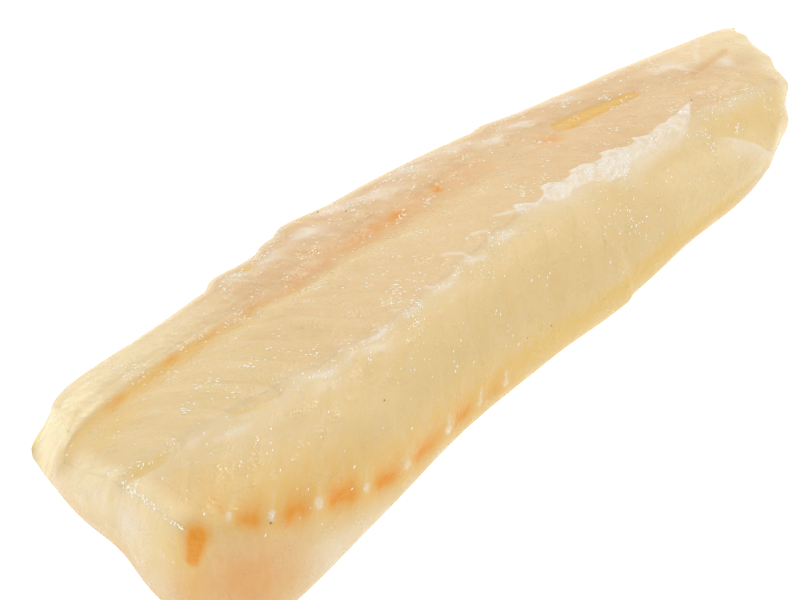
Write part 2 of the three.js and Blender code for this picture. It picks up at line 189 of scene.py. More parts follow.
# Broad tints: mask, strength, factors
BACK_SIDE = ("line", GROOVE + 0.3, LIP - 0.1, 0.3)
# Partly painted shade: the tan, rosy and warm tints at the low front corner by the cut end stand for shade
# near the floor.
CUT_CORNER = (("along", 13, 13), ("line", WALL + 0.1, 0.8))
REGIONS = [
    ("warm", 0.38, ("line", SEAM + 1, WALL, 0.6), ("along", 65, 195, 20)),
    ("warm", 0.26, BACK_SIDE),
    # Partly painted light and shade, as on the low rim: the golden low front wall near the cut end.
    ("warm", 0.5, rise("line", WALL + 0.2, WALL + 0.8), ("along", 40, 90, 15)),
    ("warm", 0.55, ("line", SEAM + 0.6, SHOULDER, 0.5), rise("along", 195, 212)),
    ("warm", 0.75, ("along", 18, 12), ("line", GROOVE + 0.75, 0.5)),
    ("warm", 0.6, *CUT_CORNER),
    ("rosy", 0.75, BACK_SIDE, rise("along", 115, 165), fall("along", 215, 240)),
    # Partly painted shade: this rosy tint darkens the hollow back side beside the seam.
    ("rosy", 0.38, ("line", GROOVE + 1.2, LIP + 0.8, 0.4), ("along", 66, 160, 15)),
    ("rosy", 0.9, *CUT_CORNER),
    ("blood", 0.43, *CUT_CORNER),
    ("pale", 0.42, ("line", 1.3, CREST - 0.1, 0.4), fall("along", 25, 75)),
    # Painted light: pale on the strip's thin outer rim stands for light glowing through it.
    ("pale", 0.4, ("line", 0.8, 2.1, 0.5)),
    # Painted light: the next two rows brighten the strip's hollow inner slope near the cut end, which lies
    # in shade.
    ("pale", 0.35, ("line", 2.6, GROOVE - 0.3, 0.3), fall("along", 35, 80)),
    ("pale", 0.75, ("line", 2.6, GROOVE - 0.3, 0.25), fall("along", 18, 32)),
    # Painted light: brightens the front slope near the tail, which lies in shade.
    ("pale", 0.18, ("line", SHOULDER - 0.6, WALL, 0.5), ("along", 180, 215, 15)),
    # Partly painted light: brightens the strip's end at the cut, where it lies in shade.
    ("pale", 1, ("line", 0.6, GROOVE - 0.6, 0.3), fall("station", 0.02, 0.1)),
    ("pale", 0.5, ("line", GROOVE + 0.7, LIP - 0.2, 0.4), fall("station", 0.01, 0.06)),
    ("pale", 0.4, ("line", SEAM + 0.4, SHOULDER - 0.6, 0.4), fall("station", 0.02, 0.07)),
    # Painted light: the next two rows make the strip's far rim and the thin tail tip pale where light falls
    # on them and glows through.
    ("pale", 0.3, ("line", 1.4, 3.2, 0.5), rise("station", 0.82, 0.92)),
    ("pale", 0.35, rise("station", 0.955, 1)),
    ("pale", 0.06, "on top", rise("coarse", 0.2, 0.9)),
]

# The dark muscle's row on the front side: its line of the section at even steps between two stations
DARK_STATIONS = (0.1, 0.45)
DARK_LINES = [8.92, 9.19, 9.55, 10.01, 10.39, 10.5, 10.56, 10.65]
DARK_SHOWS, DARK_WANDER, DARK_RAGGED = ("station", 0.1, 0.43, 0.025), 0.04, 0.05
# The half widths of its core and glow above and below that line, and their strengths
DARK_CORE, DARK_CORE_DROP, DARK_GLOW, DARK_GLOW_LEAST = (0.27, 0.16), 0.03, (0.7, 0.45), 0.45
CORE_BLOOD, GLOW_BLOOD, MOST_BLOOD, GLOW_WARMTH = 0.74, 0.36, 0.97, 0.95
DARK_DEPTH, DARK_BED = 0.7, ("below row", 0, 0.45)
# Its segments between two tendons, and how strongly they are coloured: flake numbers and strengths
SEGMENT = (rise("in segment", 0.05, 0.4), fall("in segment", 0.65, 0.95))
DARK_STRENGTHS = [(3.5, 0.72), (4.6, 0.78), (5.7, 0.95), (6.7, 0.85), (7.6, 0.8), (8.6, 0.7), (9.6, 0.25)]
# The milky muscle below it, and the golden muscle above it with its least and added warmth
MILKY = ("white", 0.36, rise("below row", 0.5, 1), ("along", 34, 50, 11))
GOLDEN = (rise("below row", -1.7, -0.15), fall("below row", 0.1, 0.6), ("along", 22, 110, 20))
GOLDEN_WARMTH, GOLDEN_EDGE = (0.33, 0.55), rise("golden", 0, 0.15)
GOLDEN_BLOOD, GOLDEN_BLOOD_LOSS, GOLDEN_BLOOD_ENDS = 0.14, 0.8, rise("along", 50, 80)
# White tendon ends between its segments: a knot on the row and a thread above it
TENDON_PHASE, TENDON_HEIGHT, TENDON_SHREDS = 0.1, 0.35, 0.8
KNOT_HALF, KNOT_RAGGED, KNOT_LINE, KNOT_EDGE = 1.1, 0.4, ("below row", -0.05, 0.12), (0.3, 0.65)
KNOT_STRENGTH, KNOT_LEAST, KNOT_VARY = 0.75, 0.6, 0.7
THREAD = (("beside tendon", 0, 0.4), ("below row", -0.4, 0, 0.15))
THREAD_STRENGTH, FAR_THREAD_STRENGTH, FAR_THREADS = 0.2, 0.35, rise("station", 0.31, 0.36)

# The blood groove: how its line falls along the loin, its half widths above and below, its warmth and haze
GROOVE_START, GROOVE_FALL, GROOVE_FALLS, GROOVE_WANDER = 0.12, 0.22, rise("along", 30, 130), 0.05
GROOVE_BAND, GROOVE_BAND_ALONG = (0.25, 0.5), ("along", 7, 150, 6)
GROOVE_WARMTH = [(0.6, fall("along", 45, 80)), (0.3, rise("along", 12, 30), fall("along", 45, 80))]
GROOVE_BLOOD = [(0.05,), (0.15, rise("along", 14, 40))]
GROOVE_HAZE = ("blood", 0.27, ("along", 100, 124, 8), ("below groove", -0.05, 0.3, 0.2))
GROOVE_DEPTH, GROOVE_BED = 0.5, (("line", GROOVE, 0.4), ("along", 12, 150, 8))
# Blood spots in it: place along the loin, half length, strength; and their half width, slant and raggedness
GROOVE_SPOTS = [
    (24.5, 4, 0.5), (42, 3.5, 0.5), (54.5, 4, 0.45), (68, 4, 0.45), (81, 4, 0.4),
    (104, 6, 0.45), (111, 6, 0.5), (118.5, 4.5, 0.8), (134, 1.6, 0.9),
]
GROOVE_SPOT = (0.2, 0.012, 0.05)

# The open slit near the tail: its ends, its half width in lines and how it narrows, and its line
SLIT_ALONG, SLIT_LINE, SLIT_RISE = (176, 208.5), GROOVE + 0.06, 0.17
SLIT_HALF, SLIT_OPENS, SLIT_NARROWS, SLIT_POINT, SLIT_LEAST = 0.42, (-0.02, 0.07), 0.2, 0.2, 1e-3
SLIT_EDGE, SLIT_SHOWS, SLIT_DEPTH = (0.65, 1.05), (0.02, 0.98, 0.02), 0.45
SLIT_BLOOD, SLIT_LOW_BLOOD, SLIT_LOW = 0.2, 0.25, (0, 0.8)
# The rosy patch before it
SLIT_NEAR_END = (("along", 170.5, 4), ("line", GROOVE + 0.45, 0.35))
SLIT_PATCH = [("rosy", 1, *SLIT_NEAR_END), ("blood", 0.45, *SLIT_NEAR_END)]

# Hollows where the front muscle stands above the seam: their ends along the loin, their depth, and how far
# they sag towards the front; and the bank in front of them
SEAM_HOLLOWS = [(8, 25, 0.75, 2.6), (36, 52, 0.4, 0.8)]
# The warm tint in the hollows is partly painted shade.
HOLLOW_ROUND, HOLLOW, HOLLOW_WARMTH = 0.7, (fall("low seam", -1, 3), rise("low seam", -1.9, -1.4)), 0.8
BANK_HEIGHT, BANK = 0.2, (rise("low seam", -7, -2), fall("low seam", -2, -1.4))
# Yellow hollows, their tint partly painted shade: their two ends as (along, aside), half width, strength
YELLOW_HOLLOWS = [((11.5, -0.8), (18.5, -2.4), 2.1, 0.85), ((38.5, -0.8), (43.3, -4), 1.5, 0.6)]
# The broken white edge in front of the near hollows
SEAM_EDGE = ("white", 0.3, ("aside", -3.4, 1.6), ("along", 20, 60, 6), rise("broken", 0.1, 0.7))
BROKEN_FINE = 0.6
# White patches of tissue, some of them painted glints and sheen: along, aside, half length, half width,
# strength; and their raggedness along and aside
WHITE_AND_GLINT_PATCHES = [
    (27, -2.6, 4, 1.2, 0.35), (48, -4.7, 3.5, 2.2, 0.2), (60, -3.5, 5, 2.5, 0.65),
    (33, -6.8, 5, 1.6, 0.5), (58, -7.6, 4.5, 2.6, 0.4), (73.5, -5, 4, 2.2, 0.55),
    (68, -3.6, 3, 1.5, 0.4), (77.5, -0.2, 4, 1.4, 0.7), (89.5, -0.3, 3.5, 1.1, 0.5),
    (100.5, -2.3, 3, 1.3, 0.6), (106.5, -0.9, 2.5, 0.9, 0.5), (113.8, -2.6, 2.6, 1.4, 0.75),
    (126.8, -2.6, 3, 1.7, 0.7), (219, 7.4, 1.2, 0.8, 0.7), (225.5, 8.1, 1.5, 0.7, 0.5),
    (229, 5, 5, 1, 0.3),
]
PATCH_RAGGED = (1, 0.5)
# White threads as paths of (along, aside), and their strength, half width and raggedness
SEAM_THREADS = [
    [(109.5, 5.5), (113.4, 1.7), (113.9, -2.8)],
    [(121, 5), (124.5, 2), (122.5, -0.8)],
    [(97.5, 1), (100.8, -2.2)],
    [(131, 6), (135.5, 2.2), (136.5, 0.5)],
]
SEAM_THREAD, SEAM_THREAD_HALF, SEAM_THREAD_RAGGED = 0.6, 0.5, 0.15

# The white band over the seam's far half: its lower edge as (along, aside) and its cusped upper edge
BAND_LOW = [
    (134, 1), (137, -0.3), (145, -0.3), (147, -3), (150.5, -6.1), (155, -4), (159.5, -3.2), (163, -9.6),
    (168, -8.5), (174, -6.5), (184, -4), (195, -3), (206, 0), (214, 5),
]
BAND_TOP, BAND_CUSP, BAND_CUSP_POWER, BAND_CUSPS_END = 1, 2.9, 2.2, fall("along", 185, 200)
BAND_RISE, BAND_RISES, BAND_RAGGED_TOP, BAND_RAGGED_LOW = 5, rise("along", 190, 214), 0.4, 0.9
# Its start, upper edge and slanted far end; its lower edge; and the strands that break it up
BAND_INSIDE = (rise("along", 134, 137), rise("under top", -0.2, 0.2), fall("slanted", 204.2, 205.8))
BAND_END_SLANT, BAND_ABOVE = 1.43, rise("over low", -1.2, 0.8)
BAND_LEAST, BAND_MORE, STRANDS, STRANDS_FINE = 0.55, 0.45, rise("strands", -0.9, 0.4), 0.7
BAND_STRENGTH, BAND_HEIGHT, BAND_UNEVEN = 0.95, 0.25, 0.8
# The thin veil below it
VEIL, VEIL_CLOUDS = (rise("over veil", -7, -1), ("along", 145, 215, 10)), 2
VEIL_STRENGTH, FAR_VEIL_STRENGTH, FAR_VEIL = 0.2, 0.25, rise("along", 165, 180)

# The thin back strip's rosy colour with its least and fine strength, and the rosy colour beside the groove
STRIP_ROSY = (("line", 1.9, GROOVE - 0.1, 0.5), ("along", 80, 225, 40))
STRIP_ROSY_LEAST, STRIP_ROSY_FINE = 0.8, 0.3
BESIDE_GROOVE = ("rosy", 0.6, ("line", GROOVE, 0.8), ("along", 95, 180, 15))
# White patches on it: along, line, half length; and their strength, half width, slant and raggedness
STRIP_PATCHES = [
    (73, 2.84, 4), (83, 2.9, 5.5), (96, 3.13, 6), (107, 2.6, 7), (119, 2.95, 8), (134, 2.7, 6),
    (149, 2.67, 8), (160, 3.2, 5), (171, 3.1, 5), (188, 2.6, 6), (225, 3.1, 6),
]
STRIP_WHITE, STRIP_PATCH = 0.7, (0.2, -0.025, 0.14)
# Yellow spots on its rim: the same
RIM_SPOTS = [(76.8, 2.68, 3), (99.8, 2.4, 3.5)]
RIM_BLOOD, RIM_SPOT = 0.12, (0.17, 0, 0.1)
STRIP_UNEVEN = (("line", 1.6, GROOVE - 0.2, 0.5), ("station", 0.02, 0.97, 0.02))
STRIP_LUMPS, STRIP_SMALL_LUMPS = 0.2, 0.1

# The tail's marks in plan: millimetres from the cut end and from the front edge
TAIL_FOLD = [(229, 44.5), (231.4, 43.9), (239, 44.5), (246.5, 44.4)]
TAIL_RIDGES = [
    [(219, 52), (225.7, 50.3), (228, 47), (231.4, 43.4)],
    [(234, 46.5), (238.5, 50.5), (245, 54.3)],
]
TAIL_TAN = [(222, 46), (228.2, 41.3), (240.4, 34.8), (241.6, 28.3), (244.2, 23.2)]
TAIL_PATCH, TAIL_PATCH_RAGGED = (242, 41), 0.6
TAIL_MARKS = [
    ("rosy", 1, ("from fold", 0, 1.8)),
    ("blood", 0.22, ("from fold", 0, 1.3)),
    ("rosy", 0.9, ("from tan", 0, 3), rise("fine", -0.8, 0.2)),
    ("white", 0.7, ("from patch", 0, 2.2)),
    ("white", 0.5, "flap"),
]
RIDGE_WHITE, RIDGE_HALF, RIDGE_RAGGED, RIDGE_CLEAR = 0.6, 0.7, 0.2, ("from fold", 0, 1)
# Their heights in millimetres
TAIL_RELIEF = [(0.4, ("from ridge", 0, 0.8)), (-0.8, ("from fold", 0, 1.1)), (0.3, "flap")]
# The flap's crisp edge: its first station and line, and how many lines it drops in a whole length
FLAP_STATION, FLAP_LINE, FLAP_DROP = 0.871, 8.17, 11.2
FLAP_SHOWS = ("station", FLAP_STATION, 0.99, 0.03)
FLAP = (rise("below flap", -0.03, 0.06), fall("below flap", 0.1, 0.9), FLAP_SHOWS)

# Where wet beads, coloured near white as painted glints, gather and where flecks of torn tissue lie:
# density, factors
WET_SMALL, TORN_FINE, SLIT_DRY, WET_ABOVE = 0.6, 0.5, 0.8, rise("height", 1, 3)
CLUSTER = rise("patches", 0.35, 0.85)
BY_SEAM = (("aside", -1, 3), ("along", 30, 135, 8))
ON_STRIP = (("line", 1.9, GROOVE + 0.2, 0.4), ("along", 40, 215, 20))
WET_GLINTS = [
    (0.02, "on top"),
    (0.7, "on top", CLUSTER),
    (-0.525, "on top", CLUSTER, fall("aside", -12, -2)),
    (0.12, *BY_SEAM),
    (1.5, "white", *BY_SEAM),
    (2.5, ("station", 0, 0.01), ("line", SEAM + 0.15, SHOULDER - 0.2, 0.15), rise("across", 22, 36)),
    (0.06, *ON_STRIP),
    (0.9, CLUSTER, *ON_STRIP),
    (1.6, "band", rise("patches", 0, 0.6)),
    (1.2, ("gap", 0, 0.5), ("aside", -20, -9, 3), ("along", 150, 212, 10), rise("patches", -0.1, 0.5)),
]
FLECKS = [
    (1, *ON_STRIP, rise("along", 60, 90), rise("torn", 0.1, 0.8)),
    (0.8, "band", rise("fine", -0.2, 0.5)),
]
# Dark specks: station and line
SPECKS = [
    (0.456, 2.29), (0.474, 3.06), (0.856, 5.21), (0.144, 9.26), (0.301, 8.75), (0.503, 9.84), (0.47, 9.7),
]
# Fibres run lengthwise on the strip, turning over this many lines on both sides of the groove
STRIP_FIBRE, FIBRE_TURN, LINE_GRAIN = (1.0, -0.15, 0.0), 0.3, 5


def smoothstep(value, low, high):
    """Runs from 0 at low to 1 at high, level at both ends."""
    t = np.clip((value - low) / (high - low), 0, 1)
    return t * t * (3 - 2 * t)


def bell(distance, width):
    """1 at no distance, falling to nothing over about twice the width."""
    return np.exp(-((distance / width) ** 2))


def uneven_bell(distance, above, below):
    """A bell with one width on the side of negative distances and another on the other side."""
    return bell(distance, np.where(distance < 0, above, below))


def between(value, low, high, fade):
    """1 between two values, fading to 0 beyond them."""
    return smoothstep(value, low - fade, low) * (1 - smoothstep(value, high, high + fade))


def blend(a, b, share):
    """Runs from a to b."""
    return a + (b - a) * share


def unit(vectors):
    """Vectors of length 1."""
    return vectors / (np.linalg.norm(vectors, axis=-1, keepdims=True) + TINY)


def cubic_between(a, b, slope, next_slope, t):
    """A cubic from a to b with the given slopes at its ends."""
    cubic = 2 * a - 2 * b + slope + next_slope
    square = 3 * b - 3 * a - 2 * slope - next_slope
    return cubic * t**3 + square * t**2 + slope * t + a


def along_loin(values, s):
    """A smooth value along the loin through numbers spread evenly from the cut end to the tail."""
    values = np.asarray(values, float)
    last = len(values) - 1
    at = np.clip(s, 0, 1) * last
    i = np.minimum(at.astype(int), last)
    t = at - i
    before, here = values[np.maximum(i - 1, 0)], values[i]
    after, beyond = values[np.minimum(i + 1, last)], values[np.minimum(i + 2, last)]
    return cubic_between(here, after, (after - before) / 2, (beyond - here) / 2, t)


def curve_through(points, at):
    """Centripetal curve through points (..., count, axes), read at places counted in points."""
    first = 2 * points[..., :1, :] - points[..., 1:2, :]
    last = 2 * points[..., -1:, :] - points[..., -2:-1, :]
    padded = np.concatenate([first, points, last], axis=-2)
    i = np.minimum(at.astype(int), points.shape[-2] - 2)
    t = (at - i)[:, None]
    p0, p1, p2, p3 = (padded[..., i + k, :] for k in range(4))
    d0, d1, d2 = (
        np.sqrt(np.linalg.norm(b - a, axis=-1, keepdims=True)) for a, b in ((p0, p1), (p1, p2), (p2, p3))
    )
    slope = ((p1 - p0) / d0 - (p2 - p0) / (d0 + d1) + (p2 - p1) / d1) * d1
    next_slope = ((p2 - p1) / d1 - (p3 - p1) / (d1 + d2) + (p3 - p2) / d2) * d1
    return cubic_between(p1, p2, slope, next_slope, t)


class Noise:
    """Smooth seeded noise over two measures, from -1 to 1."""

    SIZE = 64

    def __init__(self, seed):
        self.table = np.random.default_rng(seed).uniform(-1, 1, (self.SIZE, self.SIZE))

    def __call__(self, u, v):
        u, v = np.broadcast_arrays(u, v)
        i, j = np.floor(u).astype(int), np.floor(v).astype(int)
        a, b = smoothstep(u - i, 0, 1), smoothstep(v - j, 0, 1)
        near = blend(self._read(i, j), self._read(i + 1, j), a)
        far = blend(self._read(i, j + 1), self._read(i + 1, j + 1), a)
        return blend(near, far, b)

    def _read(self, i, j):
        """The table's value at whole numbers; the table repeats."""
        return self.table[i % self.SIZE, j % self.SIZE]

    def each(self, number):
        """One steady value for each whole number, from 0 to 1."""
        return 0.5 + 0.5 * self.table[np.floor(number).astype(int) % self.SIZE, 0]


def path_distance(u, v, path):
    """Distance of places (u, v) from a path of straight steps."""
    nearest = np.full(np.broadcast(u, v).shape, np.inf)
    for (u0, v0), (u1, v1) in zip(path, path[1:]):
        du, dv = u1 - u0, v1 - v0
        t = np.clip(((u - u0) * du + (v - v0) * dv) / (du * du + dv * dv), 0, 1)
        nearest = np.minimum(nearest, np.hypot(u - u0 - t * du, v - v0 - t * dv))
    return nearest


class LoinForm:
    """The loin's form in millimetres, measured from the cut end and the front edge."""

    def __init__(self, sizes):
        self.length = sizes.length / MM
        self.width = sizes.width / MM
        self.thickness = sizes.thickness / MM
        self.pitch = sizes.flake_pitch / MM
        self.swell = sizes.flake_swell / MM
        self.seed = sizes.seed
        self.stations = np.linspace(0, 1, sizes.stations + 1)
        steps = [np.arange(count) / count + i for i, (_, _, count) in enumerate(LINES.values()) if count]
        self.around = np.append(np.concatenate(steps), LAST_LINE)
        self.scale = np.array([self.length, self.width])

    def flake_number(self, x, from_seam):
        """Whole numbers fall on the gaps between flakes, which slant back on both sides of the seam."""
        along = x + FLAKE_SLANT * (np.hypot(from_seam, FLAKE_TURN) - FLAKE_TURN)
        number = along / self.pitch * (1 + FLAKE_SHRINK * along / (2 * self.length))
        late, start, end = FLAKE_LATE
        return number - late * smoothstep(x, start, end)

    def edge_step(self, x, edge):
        """How far the steps in a long edge stand out at places along the loin."""
        out = np.zeros_like(x)
        for at, out_by, slope in EDGE_STEPS[edge]:
            past = (x - at * self.length) * np.sign(slope)
            up = smoothstep(past, -EDGE_STEP_SLOPE, EDGE_STEP_SLOPE)
            out += out_by * up * (1 - smoothstep(past, EDGE_STEP_SLOPE, abs(slope)))
        return out

    def section_ends(self, s):
        """Where the sections at stations s start, at the back edge, and end, at the front edge."""
        back = curve_through(BACK_EDGE * self.scale, s * (len(BACK_EDGE) - 1))
        front = curve_through(FRONT_EDGE * self.scale, s * (len(FRONT_EDGE) - 1))
        back[:, 1] += self.edge_step(back[:, 0], "back")
        front[:, 1] -= self.edge_step(front[:, 0], "front")
        return back, front

    def scallop(self, s):
        """How far the flakes' ends push the seam towards the front, from -1 to 1."""
        start, end = BACK_EDGE[0, 0], FRONT_EDGE[-1, 0]
        return -np.cos(2 * np.pi * self.flake_number((start + (end - start) * s) * self.length, 0))

    def end_rounding(self, s):
        """The share of its height that a section keeps, less near both ends."""
        cut = 1 - CUT_ROUND_DROP * np.maximum(0, 1 - s / CUT_ROUND) ** 2
        past = np.clip((s - (1 - TAIL_ROUND)) / TAIL_ROUND, 0, 1)
        return cut * (TAIL_EDGE + (1 - TAIL_EDGE) * np.sqrt(1 - past**2))

    def outline(self, s, q):
        """Shares across and heights of the sections at stations s, at places q counted in lines."""
        depth = self.thickness * along_loin(DEPTH, s)
        points = np.stack(
            [
                np.stack([along_loin(across, s) * self.width, along_loin(height, s) * depth], -1)
                for across, height, _ in LINES.values()
            ],
            1,
        )
        lobes = LOBE * self.width * self.scallop(s) * smoothstep(s, *LOBE_STARTS)
        points[:, LIP, 0] += lobes
        points[:, SEAM, 0] += lobes
        curve = curve_through(points, q)
        height = np.maximum(0, curve[..., 1]) * self.end_rounding(s)[:, None]
        return curve[..., 0] / self.width, height

    def place(self, s, across, height):
        """Where shares across the sections and heights lie in space."""
        back, front = self.section_ends(s)
        s = s[:, None]
        plan = back[:, None] + (front - back)[:, None] * across[..., None]
        inside = np.clip(across, 0, FRONT_FOOT)
        arch = np.clip(np.sin(np.pi * inside), 0, 1)
        middle = np.sqrt(arch)
        tail = smoothstep(s, TAIL_BOW_START, 1)
        nick = np.abs(np.sin(np.pi * TAIL_NICKS * inside**TAIL_NICK_CROWD))
        back_power, front_power = TAIL_BOW_POWERS
        rounded = arch ** (back_power + (front_power - back_power) * inside)
        bow = (tail * TAIL_BOW * rounded - tail**TAIL_NICK_POWER * TAIL_NICK * nick) * DIAGONAL
        lean = CUT_LEAN * height * np.maximum(0, 1 - s / CUT_LEAN_FADE) ** 2
        notch = CUT_NOTCH["depth"] * bell(inside - CUT_NOTCH["across"], CUT_NOTCH["width"])
        strip = STRIP_END["setback"] * (1 - smoothstep(inside, STRIP_END["from"], STRIP_END["to"]))
        strip = strip * smoothstep(height, STRIP_END["above"], STRIP_END["full"])
        cut_bow = (CUT_BOW * middle - notch - strip) * np.maximum(0, 1 - s / CUT_BOW_FADE) ** 2
        x = plan[..., 0] + bow + lean - cut_bow
        return np.stack([x, plan[..., 1] - bow, height], -1)

    def smooth_top(self):
        """All points of the top, before its relief."""
        return self.place(self.stations, *self.outline(self.stations, self.around))

    def floor_line(self, s, shares):
        """Points of the flat underside, from the back foot to the front foot of each section."""
        feet, _ = self.outline(s, np.array([0.0, LAST_LINE]))
        across = feet[:, :1] + (feet[:, 1:] - feet[:, :1]) * shares
        return self.place(s, across, np.zeros_like(across))


class Measures(dict):
    """Measures and parts of a surface by name, from which the factors in the tables are worked out."""

    def part(self, *factors):
        """The product of some factors."""
        share = 1.0
        for factor in factors:
            if isinstance(factor, str):
                share = share * self[factor]
                continue
            measure, *numbers = factor
            if len(numbers) == 3:
                share = share * between(self[measure], *numbers)
            else:
                middle, half = numbers
                share = share * bell(self[measure] - middle, half)
        return share

    def total(self, rows):
        """The sum of some rows of a strength and its factors."""
        return sum(strength * self.part(*factors) for strength, *factors in rows)


class Flesh:
    """The loin's finished top in millimetres, with the masks that colour it."""

    def __init__(self, form):
        self.form = form
        self.noise = [Noise(form.seed + k) for k in range(NOISES)]
        smooth = form.smooth_top()
        x, y, z = np.moveaxis(smooth, -1, 0)
        seam = int(np.argmin(np.abs(form.around - SEAM)))
        from_seam = y - y[:, seam : seam + 1]
        aside, slant = np.abs(from_seam), np.hypot(1, FLAKE_SLANT)
        self.measures = Measures(along=x, across=y, height=z, aside=from_seam)
        self.part, self.total = self.measures.part, self.measures.total
        self.note("line", form.around[None, :])
        self.note("station", form.stations[:, None])
        self.note("grain", (aside - FLAKE_SLANT * x) / slant)
        self.note("over grain", (x + FLAKE_SLANT * aside) / slant)
        self.coarse = self.note("coarse", self.cloud("coarse"))
        self.fine = self.note("fine", self.cloud("fine"))
        self.marks = {name: np.zeros_like(x) for name in MASKS}
        self.raised = np.zeros_like(x)
        self._flakes()
        self._regions()
        self._dark_row()
        self._groove()
        self._slit()
        self._seam()
        self._band()
        self._strip()
        self._tail()
        self._moisture()
        normal = unit(np.cross(np.gradient(smooth, axis=1), np.gradient(smooth, axis=0)))
        relief = self.raised * smoothstep(z, 0, FOOT_CLEAR)
        self.points = smooth + normal * relief[..., None]

    def note(self, name, values):
        """Keeps a measure or a part of the top under a name, for the tables."""
        self.measures[name] = values
        return values

    def read(self, *names):
        """Measures by their names."""
        return [self.measures[name] for name in names]

    def cloud(self, name):
        """One of the noises that CLOUDS names, over the whole top."""
        first, second, number, size, other_size = CLOUDS[name]
        return self.noise[number](self.measures[first] / size, self.measures[second] / other_size)

    def spot(self, at, half, line, wide, slant, ragged):
        """A spot that is 1 at a place and a line, slanted by so many lines a millimetre."""
        along = self.measures["along"] - at
        away = self.measures["line"] - line + slant * along + ragged * self.fine
        return bell(along, half) * bell(away, wide)

    def lay(self, name, strength):
        """Lays a mark on a mask wherever it is stronger than what is there."""
        self.marks[name] = np.maximum(self.marks[name], strength)

    def lay_rows(self, *rows):
        """Lays marks from rows of a mask, a strength and its factors."""
        for name, strength, *factors in rows:
            self.lay(name, strength * self.part(*factors))

    def clear(self, mark):
        """Clears the light tints where a mark lies."""
        for name in LIGHT_TINTS:
            self.marks[name] *= 1 - mark

    def _flakes(self):
        """Numbers the flakes, swells them and cuts the gaps between them."""
        x, aside = self.read("along", "aside")
        wander = self.cloud("wander") + FLAKE_SMALL_WANDER * self.cloud("small wander")
        self.number = self.form.flake_number(x + FLAKE_WANDER * wander, aside)
        self.phase = self.number % 1
        self.note("gap", np.minimum(self.phase, 1 - self.phase) * self.form.pitch)
        self.note("open gaps", self.cloud("open gaps"))
        vary = FLAKE_LEAST + FLAKE_VARY * self.noise[4].each(self.number)
        flake = -FLAKE_SWELL * self.form.swell * vary * np.cos(2 * np.pi * self.phase**FLAKE_SKEW)
        lumps = COARSE_LUMPS * self.coarse + SMALL_LUMPS * self.cloud("lumps")
        relief = flake - GAP_DEPTH * self.part(*GAP) + lumps + FIBRE_HEIGHT * self.cloud("fibres")
        self.raised += self.note("on top", self.part(*ON_TOP)) * relief

    def _regions(self):
        """Broad tints: the yellow front side, the warm far back side, and the pale ends and rims; some of
        these tints are painted light and shade.
        """
        front = self.part(*FRONT_SIDE)
        for loss, *factors in FRONT_LOSSES:
            front = front * (1 - loss * self.part(*factors))
        warmth = FRONT_WARMTH * front * (1 + FRONT_CLOUDS * self.coarse)
        self.lay("warm", np.clip(warmth + LOW_RIM_WARMTH * self.part(*LOW_RIM), 0, 1))
        self.lay_rows(*REGIONS)

    def _dark_row(self):
        """The row of dark muscle on the front side, and the golden and milky muscle beside it."""
        station, line = self.read("station", "line")
        start, stop = DARK_STATIONS
        row_line = along_loin(DARK_LINES, (station - start) / (stop - start)) + DARK_WANDER * self.coarse
        below = self.note("below row", line - row_line)
        place = self.note("in segment", (self.number - TENDON_PHASE) % 1)
        row = self.part(DARK_SHOWS)
        filled = self.part(*SEGMENT) * np.interp(self.number, *zip(*DARK_STRENGTHS))
        ragged = below + DARK_RAGGED * (self.fine + self.cloud("ragged"))
        core = uneven_bell(ragged - DARK_CORE_DROP, *DARK_CORE) * filled
        glow = uneven_bell(below, *DARK_GLOW) * blend(DARK_GLOW_LEAST, 1, filled)
        self.lay("blood", row * np.clip(CORE_BLOOD * core + GLOW_BLOOD * glow, 0, MOST_BLOOD))
        self.lay("warm", GLOW_WARMTH * row * glow)
        self.raised -= DARK_DEPTH * row * np.sin(np.pi * place) ** 2 * self.part(DARK_BED)
        self.lay_rows(MILKY)
        golden = self.note("golden", self.part(*GOLDEN))
        least, more = GOLDEN_WARMTH
        self.lay("warm", (least + more * golden) * self.part(GOLDEN_EDGE))
        self.lay("blood", GOLDEN_BLOOD * golden * (1 - GOLDEN_BLOOD_LOSS * self.part(GOLDEN_BLOOD_ENDS)))
        self._tendons(row, place)

    def _tendons(self, row, place):
        """A white tendon end between each two segments of the dark row."""
        beside = self.note("beside tendon", ((place + 0.5) % 1 - 0.5) * self.form.pitch)
        knot = bell(beside, KNOT_HALF + KNOT_RAGGED * self.fine) * self.part(KNOT_LINE)
        vary = KNOT_LEAST + KNOT_VARY * self.noise[2].each(self.number + 0.5)
        knot = KNOT_STRENGTH * smoothstep(knot, *KNOT_EDGE) * vary
        bright = THREAD_STRENGTH + FAR_THREAD_STRENGTH * self.part(FAR_THREADS)
        tendon = row * np.maximum(knot, bright * self.part(*THREAD))
        self.lay("white", tendon)
        self.lay("shreds", TENDON_SHREDS * row * knot)
        self.raised += TENDON_HEIGHT * tendon

    def _groove(self):
        """The blood groove beside the back strip, with its spots."""
        line = GROOVE + GROOVE_START - GROOVE_FALL * self.part(GROOVE_FALLS) + GROOVE_WANDER * self.coarse
        below = self.note("below groove", self.measures["line"] - line)
        band = uneven_bell(below, *GROOVE_BAND) * self.part(GROOVE_BAND_ALONG)
        self.lay("warm", band * self.total(GROOVE_WARMTH))
        self.lay("blood", band * self.total(GROOVE_BLOOD))
        for at, half, strength in GROOVE_SPOTS:
            self.lay("blood", strength * self.spot(at, half, line, *GROOVE_SPOT))
        self.lay_rows(GROOVE_HAZE)
        self.raised -= GROOVE_DEPTH * self.marks["blood"] * self.part(*GROOVE_BED)

